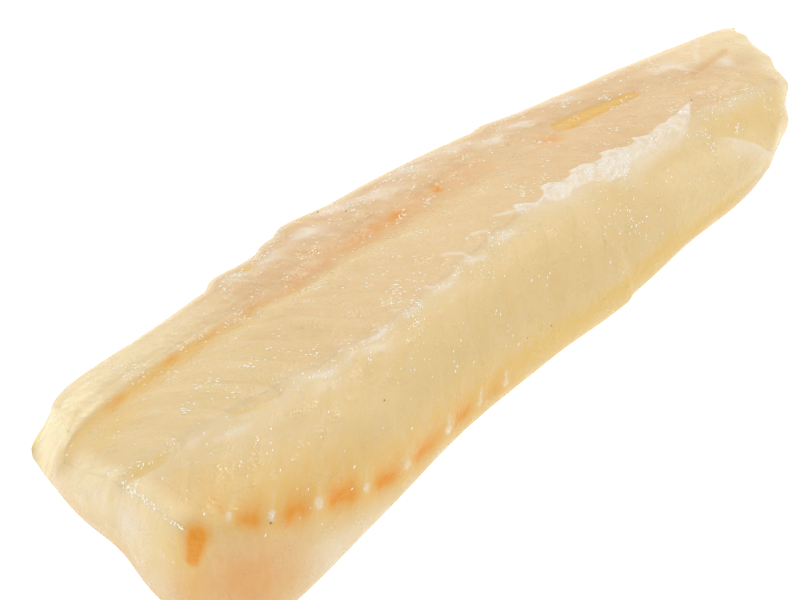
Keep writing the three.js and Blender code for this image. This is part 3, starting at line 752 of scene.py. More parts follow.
    def _slit(self):
        """The open slit of yellow fat near the tail: blunt at its near end, pointed at the far one."""
        x, line = self.read("along", "line")
        start, end = SLIT_ALONG
        share = np.clip((x - start) / (end - start), 0, 1)
        half = SLIT_HALF * smoothstep(share, *SLIT_OPENS) * (1 - SLIT_NARROWS * share)
        half = half * (1 - share) ** SLIT_POINT + SLIT_LEAST
        below = line - SLIT_LINE + SLIT_RISE * share
        inner, outer = SLIT_EDGE
        slit = 1 - smoothstep(np.abs(below), inner * half, outer * half)
        self.slit = slit * between(share, *SLIT_SHOWS)
        self.lay("warm", self.slit)
        self.lay("blood", self.slit * (SLIT_BLOOD + SLIT_LOW_BLOOD * smoothstep(below / half, *SLIT_LOW)))
        self.raised -= SLIT_DEPTH * self.slit
        self.lay_rows(*SLIT_PATCH)

    def _seam(self):
        """The seam's near hollows, partly painted shade, its white edge, and patches and threads of white
        tissue along it, some patches painted glints.
        """
        x, aside = self.read("along", "aside")
        depth, sag = np.zeros_like(x), np.zeros_like(x)
        for start, end, deep, bow in SEAM_HOLLOWS:
            share = np.sin(np.pi * np.clip((x - start) / (end - start), 0, 1))
            depth += deep * share**HOLLOW_ROUND
            sag += bow * share
        self.note("low seam", aside + sag)
        hollow = depth * self.part(*HOLLOW)
        # Partly painted shade: a warm tint darkens the hollows and the yellow hollows.
        self.lay("warm", np.clip(HOLLOW_WARMTH * hollow, 0, 1))
        self.raised += BANK_HEIGHT * depth * self.part(*BANK) - hollow
        for start, end, wide, strength in YELLOW_HOLLOWS:
            self.lay("warm", strength * bell(path_distance(x, aside, (start, end)), wide))
        self.note("broken", self.coarse + BROKEN_FINE * self.fine)
        self.lay_rows(SEAM_EDGE)
        ragged_along, ragged_aside = PATCH_RAGGED
        # Some of these white patches are painted glints and sheen.
        for at, off, half, wide, strength in WHITE_AND_GLINT_PATCHES:
            patch = bell(x - at + ragged_along * self.fine, half)
            self.lay("white", strength * patch * bell(aside - off + ragged_aside * self.fine, wide))
        for path in SEAM_THREADS:
            away = path_distance(x, aside, path) + SEAM_THREAD_RAGGED * self.fine
            self.lay("white", SEAM_THREAD * bell(away, SEAM_THREAD_HALF))

    def _band(self):
        """The band of white tissue over the far half of the seam, and the thin veil below it."""
        x, aside = self.read("along", "aside")
        cusp = np.abs(2 * self.phase - 1) ** BAND_CUSP_POWER * self.part(BAND_CUSPS_END)
        upper = BAND_TOP + BAND_CUSP * cusp + BAND_RISE * self.part(BAND_RISES)
        lower = np.interp(x, *zip(*BAND_LOW)) + BAND_RAGGED_LOW * self.fine
        self.note("under top", upper + BAND_RAGGED_TOP * self.fine - aside)
        self.note("over low", aside - lower)
        self.note("over veil", aside - lower + VEIL_CLOUDS * self.coarse)
        self.note("slanted", x - BAND_END_SLANT * aside)
        self.note("strands", self.cloud("strands") + STRANDS_FINE * self.fine)
        inside = self.part(*BAND_INSIDE)
        band = inside * self.part(BAND_ABOVE) * (BAND_LEAST + BAND_MORE * self.part(STRANDS))
        veil = inside * self.part(*VEIL) * (VEIL_STRENGTH + FAR_VEIL_STRENGTH * self.part(FAR_VEIL))
        self.lay("white", np.maximum(BAND_STRENGTH * band, veil))
        self.raised += BAND_HEIGHT * self.note("band", band) * (1 + BAND_UNEVEN * self.fine)

    def _strip(self):
        """The thin back strip: rosy and uneven, with white patches and two yellow spots on its rim."""
        self.lay("rosy", self.part(*STRIP_ROSY) * (STRIP_ROSY_LEAST + STRIP_ROSY_FINE * self.fine))
        self.lay_rows(BESIDE_GROOVE)
        self.clear(self.slit)
        for at, line, half in STRIP_PATCHES:
            self.lay("white", STRIP_WHITE * self.spot(at, half, line, *STRIP_PATCH))
        for at, line, half in RIM_SPOTS:
            yellow = self.spot(at, half, line, *RIM_SPOT)
            self.lay("warm", yellow)
            self.lay("blood", RIM_BLOOD * yellow)
            self.clear(yellow)
        lumps = STRIP_LUMPS * self.cloud("uneven") + STRIP_SMALL_LUMPS * self.cloud("small uneven")
        self.raised += self.part(*STRIP_UNEVEN) * lumps

    def _tail(self):
        """Folds and tan lines on the tail, and the pale flap at its front edge."""
        x, y, line, station = self.read("along", "across", "line", "station")
        at, off = TAIL_PATCH
        self.note("from patch", np.hypot(x - at, y - off) + TAIL_PATCH_RAGGED * self.fine)
        self.note("from fold", path_distance(x, y, TAIL_FOLD))
        self.note("from tan", path_distance(x, y, TAIL_TAN))
        ridge = np.minimum.reduce([path_distance(x, y, path) for path in TAIL_RIDGES])
        self.note("from ridge", ridge)
        self.note("below flap", line - FLAP_LINE - FLAP_DROP * (station - FLAP_STATION))
        self.note("flap", self.part(*FLAP))
        white = bell(ridge, RIDGE_HALF + RIDGE_RAGGED * self.fine) * (1 - self.part(RIDGE_CLEAR))
        self.lay("white", RIDGE_WHITE * white)
        self.lay_rows(*TAIL_MARKS)
        self.raised += self.total(TAIL_RELIEF)

    def _moisture(self):
        """Where wet beads, coloured near white as painted glints, gather, and where flecks of torn tissue
        lie.
        """
        patches = self.note("patches", self.cloud("wet") + WET_SMALL * self.cloud("small wet"))
        self.note("torn", patches + TORN_FINE * self.fine)
        self.note("white", self.marks["white"])
        self.lay("wet", self.total(WET_GLINTS) * self.part(WET_ABOVE) * (1 - SLIT_DRY * self.slit))
        self.lay("shreds", self.total(FLECKS))

    def at(self, s, q):
        """Surface points at stations s and lines q, read between the nearest mesh points."""
        rows, columns = len(self.form.stations), len(self.form.around)
        i = np.clip(s * (rows - 1), 0, rows - 1 - TINY)
        j = np.clip(np.interp(q, self.form.around, np.arange(columns)), 0, columns - 1 - TINY)
        a, b = i.astype(int), j.astype(int)
        u, v = (i - a)[:, None], (j - b)[:, None]
        near = blend(self.points[a, b], self.points[a + 1, b], u)
        return blend(near, blend(self.points[a, b + 1], self.points[a + 1, b + 1], u), v)

    def fibre(self):
        """Direction of the fibres at each point: aslant beside the seam, lengthwise on the back strip."""
        line, aside = self.read("line", "aside")
        side = np.where(aside > 0, 1.0, -1.0)
        aslant = np.stack([0 * side - FLAKE_SLANT, side, 0 * side], -1)
        off_strip = smoothstep(line, GROOVE - FIBRE_TURN, GROOVE + FIBRE_TURN)[..., None]
        return blend(np.array(STRIP_FIBRE), aslant, off_strip)

    def grain(self):
        """Where each point lies along the fibres and over them, in metres, for the shader's streaks."""
        along, over, line = self.read("grain", "over grain", "line")
        return np.stack([along, over, line * LINE_GRAIN + 0 * along], -1) * MM


# Points are welded where they agree to so many digits of a millimetre
WELD_DIGITS = 3


class Skin:
    """Collects sheets of points with their masks and joins them into one closed mesh."""

    def __init__(self):
        self.points = []
        self.fields = {}
        self.faces = []
        self.count = 0

    def sheet(self, points, fields, flip=False):
        """Adds rows of points with their masks, joins each row to the next, and returns their numbers."""
        rows, columns = points.shape[:2]
        self.points.append(points.reshape(rows * columns, 3))
        for name, values in fields.items():
            width = values.shape[2:]
            self.fields.setdefault(name, []).append(values.reshape(rows * columns, *width))
        numbers = np.arange(self.count, self.count + rows * columns).reshape(rows, columns)
        self.count += rows * columns
        for row, after in zip(numbers, numbers[1:]):
            a, b = (after, row) if flip else (row, after)
            self.faces.append(np.stack([a[:-1], a[1:], b[1:], b[:-1]], -1))
        return numbers

    def taper(self, fine, coarse, flip):
        """Joins a fine row to a coarse one that has a whole fraction of its steps."""
        each = (len(fine) - 1) // (len(coarse) - 1)
        i = np.arange(len(fine) - 1)
        near = coarse[i // each]
        fans = np.stack([near, fine[:-1], fine[1:], fine[1:]], -1)
        k = np.arange(1, len(coarse))
        closing = np.stack([coarse[k - 1], fine[k * each], coarse[k], coarse[k]], -1)
        both = np.concatenate([fans, closing])
        self.faces.append(both if flip else both[:, ::-1])

    def mesh(self, name):
        """One closed mesh, with shared points welded and collapsed faces dropped."""
        points = np.concatenate(self.points)
        places = np.round(points, WELD_DIGITS)
        _, first, weld = np.unique(places, axis=0, return_index=True, return_inverse=True)
        weld = weld.reshape(-1)
        faces = []
        for face in weld[np.concatenate(self.faces)].tolist():
            corners = list(dict.fromkeys(face))
            if len(corners) > 2:
                faces.append(corners)
        kept = points[first]
        middle = (kept.min(0) + kept.max(0)) / 2
        middle[2] = 0
        mesh = bpy.data.meshes.new(name)
        mesh.from_pydata(((kept - middle) * MM).tolist(), [], faces)
        for field, parts in self.fields.items():
            values = np.concatenate(parts)[first]
            kind, key = ("FLOAT_VECTOR", "vector") if values.ndim == 2 else ("FLOAT", "value")
            data = mesh.attributes.new(field, kind, "POINT").data
            data.foreach_set(key, values.astype(np.float32).ravel())
        mesh.polygons.foreach_set("use_smooth", [True] * len(mesh.polygons))
        mesh.update()
        return mesh, middle


# Rows and steps of the ends and the underside
CUT_ROWS, TAIL_ROWS, UNDER_STEPS, RIM_ROWS = 30, 6, 31, 5
# How the rows of an end wall crowd towards its top
ROW_CROWD = 1.5
# The share of the underside's rows that lies near the cut end, as one in so many
FLOOR_PART = 18
# A parabola between two faces lies inside their edge by this share of its radius
ROUND_SHARE = 0.25
# How far the top's colours run down the cut face
RIM_TINT = 4.5
# The ends of the streak of dark muscle at the cut end's front corner, and its widths and strengths
CUT_STREAK = [(9.7, 17.1, 27.2), (6.2, 16.3, 21.8)]
STREAK = {"halo": 5, "core": 2.7, "narrows": 0.9, "core blood": 1.2, "halo blood": 0.12}
# The cut face's relief: clouds as noise number, size across and up, and height; and its fold
CUT_CLOUDS = [(0, 12, 7, 0.35), (1, 4, 3, 0.15)]
CUT_FOLD = {"y": 42, "lean": 0.12, "half": 2.2, "depth": 0.9, "from": (4, 16)}
# What the masks of the cut face add up, as strengths and factors; across is from the front edge, and rim is
# the distance from the rim
CUT_MOTTLE = (13, 8)
LOW_TAN = (fall("across", 12, 25), fall("height", 14, 26))
HIGH_CORNER = (fall("across", 20, 40), rise("height", 14, 26))
NOTCH_SPOT = (("across", 45.5, 1.3), ("height", 16.2, 1.8))
PALE_EDGE = (("rim", 0, 7), rise("across", 38, 46))
MILKY_SPOTS = [(("across", 51, 7), ("height", 15.5, 5)), (("across", 39, 6), ("height", 15, 7))]
CUT_TINTS = {
    "blood": [(0.42, *LOW_TAN)],
    "warm": [
        (0.35,), (0.8, *NOTCH_SPOT), (0.4, *HIGH_CORNER), (0.35, fall("across", 22, 34)), (-0.2, *PALE_EDGE),
    ],
    "rosy": [(0.5, fall("height", 2, 11)), (0.5, ("across", 22, 6), ("height", 8, 6))],
    "pale": [
        (0.22,), (0.1, "cloud"), (1, rise("across", 66, 78)), (0.5, *PALE_EDGE), (-0.6, *LOW_TAN),
        (-0.2, *HIGH_CORNER),
    ],
    "white": [(0.5, "milk"), (-1, *NOTCH_SPOT)],
}
# Where the wet beads, painted glints, gather on the cut face: thinly all over, thickest along the front part
# of its rim
CUT_WET_GLINTS = [(0.01, rise("height", 1, 3)), (2, ("rim", 0, 1.2), ("across", 22, 40, 2))]
# The same for the tail's wall and the underside
TAIL_TINTS = {"pale": [(0.45,)]}
UNDER_MOTTLE = (16, 12)
UNDER_TINTS = {
    "warm": [(0.35,), (0.3, ("gap", 0, 0.09))],
    "rosy": [(0.3,), (0.2, "cloud")],
    "pale": [(0.25,), (0.25, "cloud")],
}


def mixed_masks(shape, tints, measures):
    """Masks of 0, apart from the given tints, which add up their rows."""
    masks = {name: np.zeros(shape) for name in MASKS}
    for name, rows in tints.items():
        masks[name] = np.clip(masks[name] + measures.total(rows), 0, 1)
    return masks


def end_wall(form, rim, station, rows, swell):
    """A wall at one end, straight down from the top's rim to the floor line."""
    down = (np.linspace(0, 1, rows + 1) ** ROW_CROWD)[:, None]
    across, _ = form.outline(np.array([float(station)]), form.around)
    shares = np.clip((across[0] - across[0, 0]) / (across[0, -1] - across[0, 0]), 0, 1)
    foot = form.floor_line(np.array([float(station)]), shares[None, :])[0]
    points = rim[None] + (foot - rim)[None] * down[..., None]
    bulge = np.sin(np.pi * down) * np.sin(np.pi * shares)[None, :]
    points[..., 0] -= swell * bulge
    return points, bulge


def inset(distance, radius):
    """How far a point at some distance from an edge moves in, for a parabola between both its faces."""
    return ROUND_SHARE * radius * np.clip(1 - distance / radius, 0, 1) ** 2


def round_rim(form, top, wall, floor):
    """Rounds the sharp edge where the top meets the cut face; both start with a row on that rim.
    Returns which parts of the rim are near each point of the cut face, and how far the rim is from it."""
    rim = top[0].copy()
    along = unit(np.gradient(rim, axis=0))
    middle = wall.reshape(-1, 3).mean(0)
    facing = np.linalg.svd(wall.reshape(-1, 3) - middle, full_matrices=False)[2][-1]
    inward = np.cross(facing, along)
    inward *= np.sign(((middle - rim) * inward).sum())
    back = top[RIM_ROWS] - rim
    back = unit(back - along * (back * along).sum(-1, keepdims=True))
    radius = along_loin(CUT_FILLETS, form.around / LAST_LINE)
    turn = back + inward
    turn[:, 2] *= smoothstep(rim[:, 2], 0, RIM_CLEAR)
    off_rim = np.maximum(0, ((top - rim) * back).sum(-1))
    top += inset(off_rim, radius)[..., None] * turn
    step = np.diff(rim, axis=0)
    span = np.linalg.norm(step, axis=-1)
    middle_turn = (turn[:-1] + turn[1:]) / 2
    near_floor = floor[: len(form.stations) // FLOOR_PART]
    found = []
    for row in (*wall, *near_floor):
        away = row[:, None] - rim[:-1]
        share = np.clip((away * step).sum(-1) / (span**2 + TINY), 0, 1)
        distance = np.linalg.norm(away - share[..., None] * step, axis=-1)
        weight = span / (distance**2 + RIM_BLEND) ** 3
        moved = weight * inset(distance, radius[:-1])
        shift = (moved[..., None] * middle_turn).sum(1) / weight.sum(1)[:, None]
        shift[:, 2] *= smoothstep(row[:, 2], 0, RIM_CLEAR)
        row += shift
        found.append((weight / weight.sum(1, keepdims=True), distance.min(1)))
    wall[0] = top[0]
    floor[:, 0], floor[:, -1] = top[1:-1, 0], top[1:-1, -1]
    return [np.stack(part) for part in zip(*found[: len(wall)])]


def lay_streak(masks, points):
    """Lays the streak of dark muscle at the cut end's front corner, with its yellow halo."""
    start, end = np.array(CUT_STREAK)
    along = end - start
    share = np.clip((points - start) @ along / (along @ along), 0, 1)
    distance = np.linalg.norm(points - start - share[..., None] * along, axis=-1)
    halo = bell(distance, STREAK["halo"])
    core = bell(distance, STREAK["core"] - STREAK["narrows"] * share)
    blood = np.clip(STREAK["core blood"] * core + STREAK["halo blood"] * halo, 0, 1)
    masks["blood"] = np.maximum(masks["blood"], blood)
    masks["warm"] = np.maximum(masks["warm"], halo)
    for name in LIGHT_TINTS:
        masks[name] = masks[name] * (1 - halo)


def cut_wall(form, flesh):
    """The cut end's face, uneven and with a shallow fold below the seam."""
    points, bulge = end_wall(form, flesh.points[0], 0, CUT_ROWS, CUT_SWELL)
    y, z = points[..., 1], points[..., 2]
    for number, across, up, height in CUT_CLOUDS:
        points[..., 0] += bulge * height * flesh.noise[number](y / across, z / up)
    fold = bell(y - CUT_FOLD["y"] - CUT_FOLD["lean"] * z, CUT_FOLD["half"])
    points[..., 0] += CUT_FOLD["depth"] * fold * bulge * smoothstep(z, *CUT_FOLD["from"])
    return points


def cut_masks(flesh, points, from_rim):
    """The cut face's masks: pale flesh, tan at its low front corner, yellow in front and at its notch."""
    y, z = points[..., 1], points[..., 2]
    across, up = CUT_MOTTLE
    measures = Measures(across=y, height=z, rim=from_rim, cloud=flesh.noise[2](y / across, z / up))
    measures["milk"] = np.maximum(*(measures.part(*spot) for spot in MILKY_SPOTS))
    masks = mixed_masks(y.shape, CUT_TINTS, measures)
    masks["wet"] = measures.total(CUT_WET_GLINTS)
    grain = np.stack([z, y, 0 * y], -1) * MM
    return dict(masks, grain=grain, fibre=np.zeros_like(points) + (0, 1, 0))


def tail_masks(points):
    """The tail wall's masks: pale flesh."""
    masks = mixed_masks(points.shape[:2], TAIL_TINTS, Measures())
    return dict(masks, grain=points * MM, fibre=np.zeros_like(points) + (0, 1, 0))


def floor_masks(form, flesh, points):
    """The flat underside's masks: pale flesh with faint lines where the flakes meet."""
    x, y = points[..., 0], points[..., 1]
    number = form.flake_number(x, y - y.mean(1, keepdims=True))
    gap = np.minimum(number % 1, 1 - number % 1)
    along, across = UNDER_MOTTLE
    measures = Measures(gap=gap, cloud=flesh.noise[2](x / along, y / across))
    masks = mixed_masks(x.shape, UNDER_TINTS, measures)
    grain = np.stack([x, y, 0 * x], -1) * MM
    return dict(masks, grain=grain, fibre=np.zeros_like(points) + (1, 0, 0))


def loin_mesh(form, flesh, name):
    """The whole loin as one closed mesh, and the shift that puts a point of the form in place."""
    skin = Skin()
    cut_points = cut_wall(form, flesh)
    floor_points = form.floor_line(form.stations[1:-1], np.linspace(0, 1, UNDER_STEPS + 1)[None, :])
    rim_parts, from_rim = round_rim(form, flesh.points, cut_points, floor_points)
    cut_fields = cut_masks(flesh, cut_points, from_rim)
    for tint in TINTS:
        on_rim = (flesh.marks[tint][0, :-1] + flesh.marks[tint][0, 1:]) / 2
        cut_fields[tint] += bell(from_rim, RIM_TINT) * (rim_parts @ on_rim - cut_fields[tint])
    lay_streak(flesh.marks, flesh.points)
    lay_streak(cut_fields, cut_points)
    tail_points, _ = end_wall(form, flesh.points[-1], 1, TAIL_ROWS, 0)
    skin.sheet(flesh.points, dict(flesh.marks, grain=flesh.grain(), fibre=flesh.fibre()))
    cut = skin.sheet(cut_points, cut_fields, flip=True)
    tail = skin.sheet(tail_points, tail_masks(tail_points))
    floor = skin.sheet(floor_points, floor_masks(form, flesh, floor_points), flip=True)
    skin.taper(cut[-1], floor[0], False)
    skin.taper(tail[-1], floor[-1], True)
    return skin.mesh(name)


class Graph:
    """Adds nodes to a tree: each input is named or numbered, and takes a value or another node's output."""

    def __init__(self, tree):
        self.tree = tree

    def add(self, kind, inputs=(), **settings):
        """A new node with its settings and inputs."""
        node = self.tree.nodes.new(kind)
        for name, value in settings.items():
            setattr(node, name, value)
        for name, value in dict(inputs).items():
            self.put(node.inputs[name], value)
        return node

    def put(self, socket, value):
        """Links another node's output to a socket, or sets the socket's own value."""
        if isinstance(value, bpy.types.NodeSocket):
            self.tree.links.new(value, socket)
        else:
            socket.default_value = value

    def maths(self, operation, a, b=0.0, clamp=False):
        """The result of an operation on two values."""
        return self.add("ShaderNodeMath", {0: a, 1: b}, operation=operation, use_clamp=clamp).outputs[0]

    def mix(self, factor, a, b):
        """A colour between two colours; 6, 7 and 2 are the node's colour sockets."""
        return self.add("ShaderNodeMix", {0: factor, 6: a, 7: b}, data_type="RGBA").outputs[2]

    def attribute(self, name):
        """A mask or measure of the mesh."""
        return self.add("ShaderNodeAttribute", attribute_name=name).outputs

    def noise(self, **inputs):
        """Noise in the object's own frame, or in the frame that is given."""
        if "Vector" not in inputs:
            inputs["Vector"] = self.add("ShaderNodeTexCoord").outputs["Object"]
        return self.add("ShaderNodeTexNoise", inputs).outputs[0]

    def spread(self, value, low, high, to_low=0.0, to_high=1.0):
        """Stretches a value's range to another one."""
        sockets = {0: value, 1: low, 2: high, 3: to_low, 4: to_high}
        return self.add("ShaderNodeMapRange", sockets).outputs[0]


def group(name, kind, inputs, outputs):
    """A node group with named inputs and outputs: its graph, its input sockets and its output node."""
    tree = bpy.data.node_groups.new(name, kind)
    for label, socket_type, default in inputs:
        socket = tree.interface.new_socket(label, in_out="INPUT", socket_type=socket_type)
        if default is not None:
            socket.default_value = default
    for label, socket_type in outputs:
        tree.interface.new_socket(label, in_out="OUTPUT", socket_type=socket_type)
    graph = Graph(tree)
    return graph, graph.add("NodeGroupInput").outputs, graph.add("NodeGroupOutput")


def use_group(graph, tree, inputs):
    """A group's outputs for the given inputs."""
    kind = "ShaderNodeGroup" if tree.bl_idname == "ShaderNodeTree" else "GeometryNodeGroup"
    node = graph.add(kind, node_tree=tree)
    for name, value in inputs.items():
        graph.put(node.inputs[name], value)
    return node.outputs


# The parts of the noise's range that clouds and streaks, and patches of gloss, are stretched from
MOTTLE_CONTRAST, GLOSS_CONTRAST = (0.32, 0.68), (0.46, 0.66)
GLOSS_SCALE, DULL_WRINKLES = 230.0, 0.3
# Streaks as a share of the wrinkles' height
STREAK_HEIGHT = 0.35
# How far red, green and blue light spread under the surface, as shares of the scatter depth
FLESH_SPREAD, TISSUE_SPREAD = (1.0, 0.6, 0.3), (1.0, 0.8, 0.6)
# How strongly streaks break up each tint, in the order in which the tints are laid
BREAK_UPS = {"Warm": 0.5, "Rosy": 0.8, "Pale": 0.6, "Blood": 0.25, "White": 0.7}


def mottle_group():
    """Clouds and streaks that follow the muscle's grain."""
    graph, given, out = group(
        "Grain mottle",
        "ShaderNodeTree",
        [
            ("Cloud Scale", "NodeSocketFloat", 90.0),
            ("Streak Scale", "NodeSocketFloat", 600.0),
            ("Streak Length", "NodeSocketFloat", 5.0),
        ],
        [("Cloud", "NodeSocketFloat"), ("Streak", "NodeSocketFloat")],
    )
    grain = graph.attribute("grain")["Vector"]
    cloud = graph.noise(Vector=grain, Scale=given["Cloud Scale"], Detail=4.0)
    shrink = graph.maths("DIVIDE", 1.0, given["Streak Length"])
    squash = graph.add("ShaderNodeCombineXYZ", {0: shrink, 1: 1.0, 2: 1.0}).outputs[0]
    stretched = graph.add("ShaderNodeVectorMath", {0: grain, 1: squash}, operation="MULTIPLY").outputs[0]
    streak = graph.noise(Vector=stretched, Scale=given["Streak Scale"], Detail=3.0)
    graph.put(out.inputs["Cloud"], graph.spread(cloud, *MOTTLE_CONTRAST))
    graph.put(out.inputs["Streak"], graph.spread(streak, *MOTTLE_CONTRAST))
    return graph.tree


def tint_group():
    """Lays a tint over a colour where a mask says, broken up by streaks."""
    graph, given, out = group(
        "Streaky tint",
        "ShaderNodeTree",
        [
            ("Base", "NodeSocketColor", None),
            ("Tint", "NodeSocketColor", None),
            ("Mask", "NodeSocketFloat", 0.0),
            ("Streak", "NodeSocketFloat", 0.5),
            ("Break-up", "NodeSocketFloat", 0.4),
        ],
        [("Color", "NodeSocketColor")],
    )
    swing = graph.maths("MULTIPLY", graph.maths("SUBTRACT", given["Streak"], 0.5), given["Break-up"])
    factor = graph.maths("MULTIPLY", given["Mask"], graph.maths("ADD", 1.0, swing), clamp=True)
    graph.put(out.inputs["Color"], graph.mix(factor, given["Base"], given["Tint"]))
    return graph.tree


def flesh_colour_group(mottle, tint):
    """The flesh's colour from its masks: plain flesh first, then each tint in turn."""
    colours = [(name, "NodeSocketColor", None) for name in ("Flesh", "Light Flesh", *BREAK_UPS)]
    graph, given, out = group("Flesh colour", "ShaderNodeTree", colours, [("Color", "NodeSocketColor")])
    pattern = use_group(graph, mottle, {})
    colour = graph.mix(pattern["Cloud"], given["Flesh"], given["Light Flesh"])
    for name, break_up in BREAK_UPS.items():
        layer = {
            "Base": colour,
            "Tint": given[name],
            "Mask": graph.attribute(name.lower())["Fac"],
            "Streak": pattern["Streak"],
            "Break-up": break_up,
        }
        colour = use_group(graph, tint, layer)["Color"]
    graph.put(out.inputs["Color"], colour)
    return graph.tree


def moist_group():
    """A moist surface: fine wrinkles as height, and patches of smoother and duller gloss."""
    graph, given, out = group(
        "Moist surface",
        "ShaderNodeTree",
        [
            ("Wrinkle Scale", "NodeSocketFloat", 1100.0),
            ("Wet Roughness", "NodeSocketFloat", 0.16),
            ("Dull Roughness", "NodeSocketFloat", 0.5),
        ],
        [("Height", "NodeSocketFloat"), ("Roughness", "NodeSocketFloat")],
    )
    wrinkles = graph.noise(Scale=given["Wrinkle Scale"], Detail=2.0, Roughness=0.5)
    gloss = graph.spread(graph.noise(Scale=GLOSS_SCALE, Detail=4.0), *GLOSS_CONTRAST)
    height = graph.maths("MULTIPLY", wrinkles, graph.spread(gloss, 0, 1, DULL_WRINKLES, 1.0))
    roughness = graph.spread(gloss, 0, 1, given["Dull Roughness"], given["Wet Roughness"])
    graph.put(out.inputs["Height"], height)
    graph.put(out.inputs["Roughness"], roughness)
    return graph.tree


def new_material(name):
    """A material with its graph and its main shader."""
    material = bpy.data.materials.new(name)
    material.use_nodes = True
    return material, Graph(material.node_tree), material.node_tree.nodes["Principled BSDF"]


def set_translucent(shader, colours, radius):
    """Lets light pass under the surface as the panel says."""
    shader.inputs["Subsurface Weight"].default_value = colours.translucency
    shader.inputs["Subsurface Scale"].default_value = colours.scatter_depth
    shader.inputs["Subsurface Radius"].default_value = radius


def set_cloudy(graph, shader, scale, dark, light):
    """Gives a shader a colour that varies between two colours in clouds."""
    colour = graph.mix(graph.noise(Scale=scale), (*dark, 1), (*light, 1))
    graph.put(shader.inputs["Base Color"], colour)


def set_bump(graph, shader, height, strength, distance):
    """Gives a shader fine relief."""
    bump = graph.add("ShaderNodeBump", {"Height": height, "Strength": strength, "Distance": distance})
    graph.put(shader.inputs["Normal"], bump.outputs[0])


class Finishes:
    """The loin's materials, made once from the colours in the panel."""

    def __init__(self, colours):
        self.mottle = mottle_group()
        self.tint = tint_group()
        self.moist = moist_group()
        self.flesh_colour = flesh_colour_group(self.mottle, self.tint)
        names = ("flesh", "light_flesh", "warm", "rosy", "pale", "blood", "white")
        self.colours = {name.replace("_", " ").title(): (*getattr(colours, name), 1) for name in names}
        self.flesh = self._flesh(colours)
        self.moisture = self._moisture()
        self.tissue = self._tissue(colours)
        self.speck = self._speck(colours)

    def _flesh(self, colours):
        """Moist flesh in all its tints."""
        material, graph, shader = new_material("raw flesh")
        graph.put(shader.inputs["Base Color"], use_group(graph, self.flesh_colour, self.colours)["Color"])
        moist = use_group(graph, self.moist, {})
        streak = use_group(graph, self.mottle, {})["Streak"]
        height = graph.maths("ADD", moist["Height"], graph.maths("MULTIPLY", streak, STREAK_HEIGHT))
        set_bump(graph, shader, height, strength=0.5, distance=0.6 * MM)
        graph.put(shader.inputs["Roughness"], moist["Roughness"])
        set_translucent(shader, colours, FLESH_SPREAD)
        return material

    def _moisture(self):
        """Glossy wet beads coloured near white: painted glints."""
        material, graph, shader = new_material("moisture")
        # Painted glints: the beads' near-white colour shows as glints under any light.
        set_cloudy(graph, shader, scale=300.0, dark=(0.95, 0.86, 0.66), light=(1.0, 0.99, 0.93))
        moist = use_group(graph, self.moist, {"Wet Roughness": 0.05, "Dull Roughness": 0.12})
        graph.put(shader.inputs["Roughness"], moist["Roughness"])
        return material

    def _tissue(self, colours):
        """Torn white tissue."""
        material, graph, shader = new_material("connective tissue")
        set_cloudy(graph, shader, scale=120.0, dark=(0.84, 0.66, 0.48), light=(0.93, 0.85, 0.76))
        moist = use_group(graph, self.moist, {"Wet Roughness": 0.15, "Dull Roughness": 0.35})
        set_bump(graph, shader, moist["Height"], strength=0.2, distance=0.3 * MM)
        graph.put(shader.inputs["Roughness"], moist["Roughness"])
        set_translucent(shader, colours, TISSUE_SPREAD)
        return material

    def _speck(self, colours):
        """Dark specks with a hint of blood."""
        material, graph, shader = new_material("dark speck")
        pattern = use_group(graph, self.mottle, {"Cloud Scale": 900.0})
        dark = (*colours.speck, 1)
        graph.put(shader.inputs["Base Color"], graph.mix(pattern["Cloud"], dark, self.colours["Blood"]))
        shader.inputs["Roughness"].default_value = 0.4
        return material


# Sizes of the lumps along the fibres, across and up in millimetres, and how much those sizes vary
SHRED_SIZE, BEAD_SIZE, SPECK_SIZE = (0.62, 0.15, 0.06), (0.3, 0.12, 0.08), (0.24, 0.2, 0.14)
SCATTER_SPREAD, SPECK_SPREAD = 0.75, 0.4
LUMP_SEGMENTS, LUMP_RINGS = 7, 4
LUMP_INPUTS = [
    ("Size", "NodeSocketVector", (MM, MM, MM)),
    ("Spread", "NodeSocketFloat", 0.5),
    ("Seed", "NodeSocketInt", 0),
    ("Finish", "NodeSocketMaterial", None),
]


def lump_group():
    """A small rounded lump at each point, turned as the point says and of varied size."""
    graph, given, out = group(
        "Lumps at points",
        "GeometryNodeTree",
        [("Points", "NodeSocketGeometry", None), ("Turn", "NodeSocketRotation", None), *LUMP_INPUTS],
        [("Geometry", "NodeSocketGeometry")],
    )
    low = graph.maths("SUBTRACT", 1.0, given["Spread"])
    high = graph.maths("ADD", 1.0, given["Spread"])
    vary = graph.add("FunctionNodeRandomValue", {2: low, 3: high, "Seed": given["Seed"]}, data_type="FLOAT")
    size = graph.add("ShaderNodeVectorMath", {0: given["Size"], "Scale": vary.outputs[1]}, operation="SCALE")
    ball = {"Segments": LUMP_SEGMENTS, "Rings": LUMP_RINGS, "Radius": 1.0}
    lump = graph.add("GeometryNodeMeshUVSphere", ball).outputs["Mesh"]
    lumps = graph.add(
        "GeometryNodeInstanceOnPoints",
        {"Points": given["Points"], "Instance": lump, "Rotation": given["Turn"], "Scale": size.outputs[0]},
    ).outputs[0]
    real = graph.add("GeometryNodeRealizeInstances", {0: lumps}).outputs[0]
    round_off = graph.add("GeometryNodeSetShadeSmooth", {0: real}).outputs[0]
    finished = graph.add("GeometryNodeSetMaterial", {"Geometry": round_off, "Material": given["Finish"]})
    graph.put(out.inputs[0], finished.outputs[0])
    return graph.tree


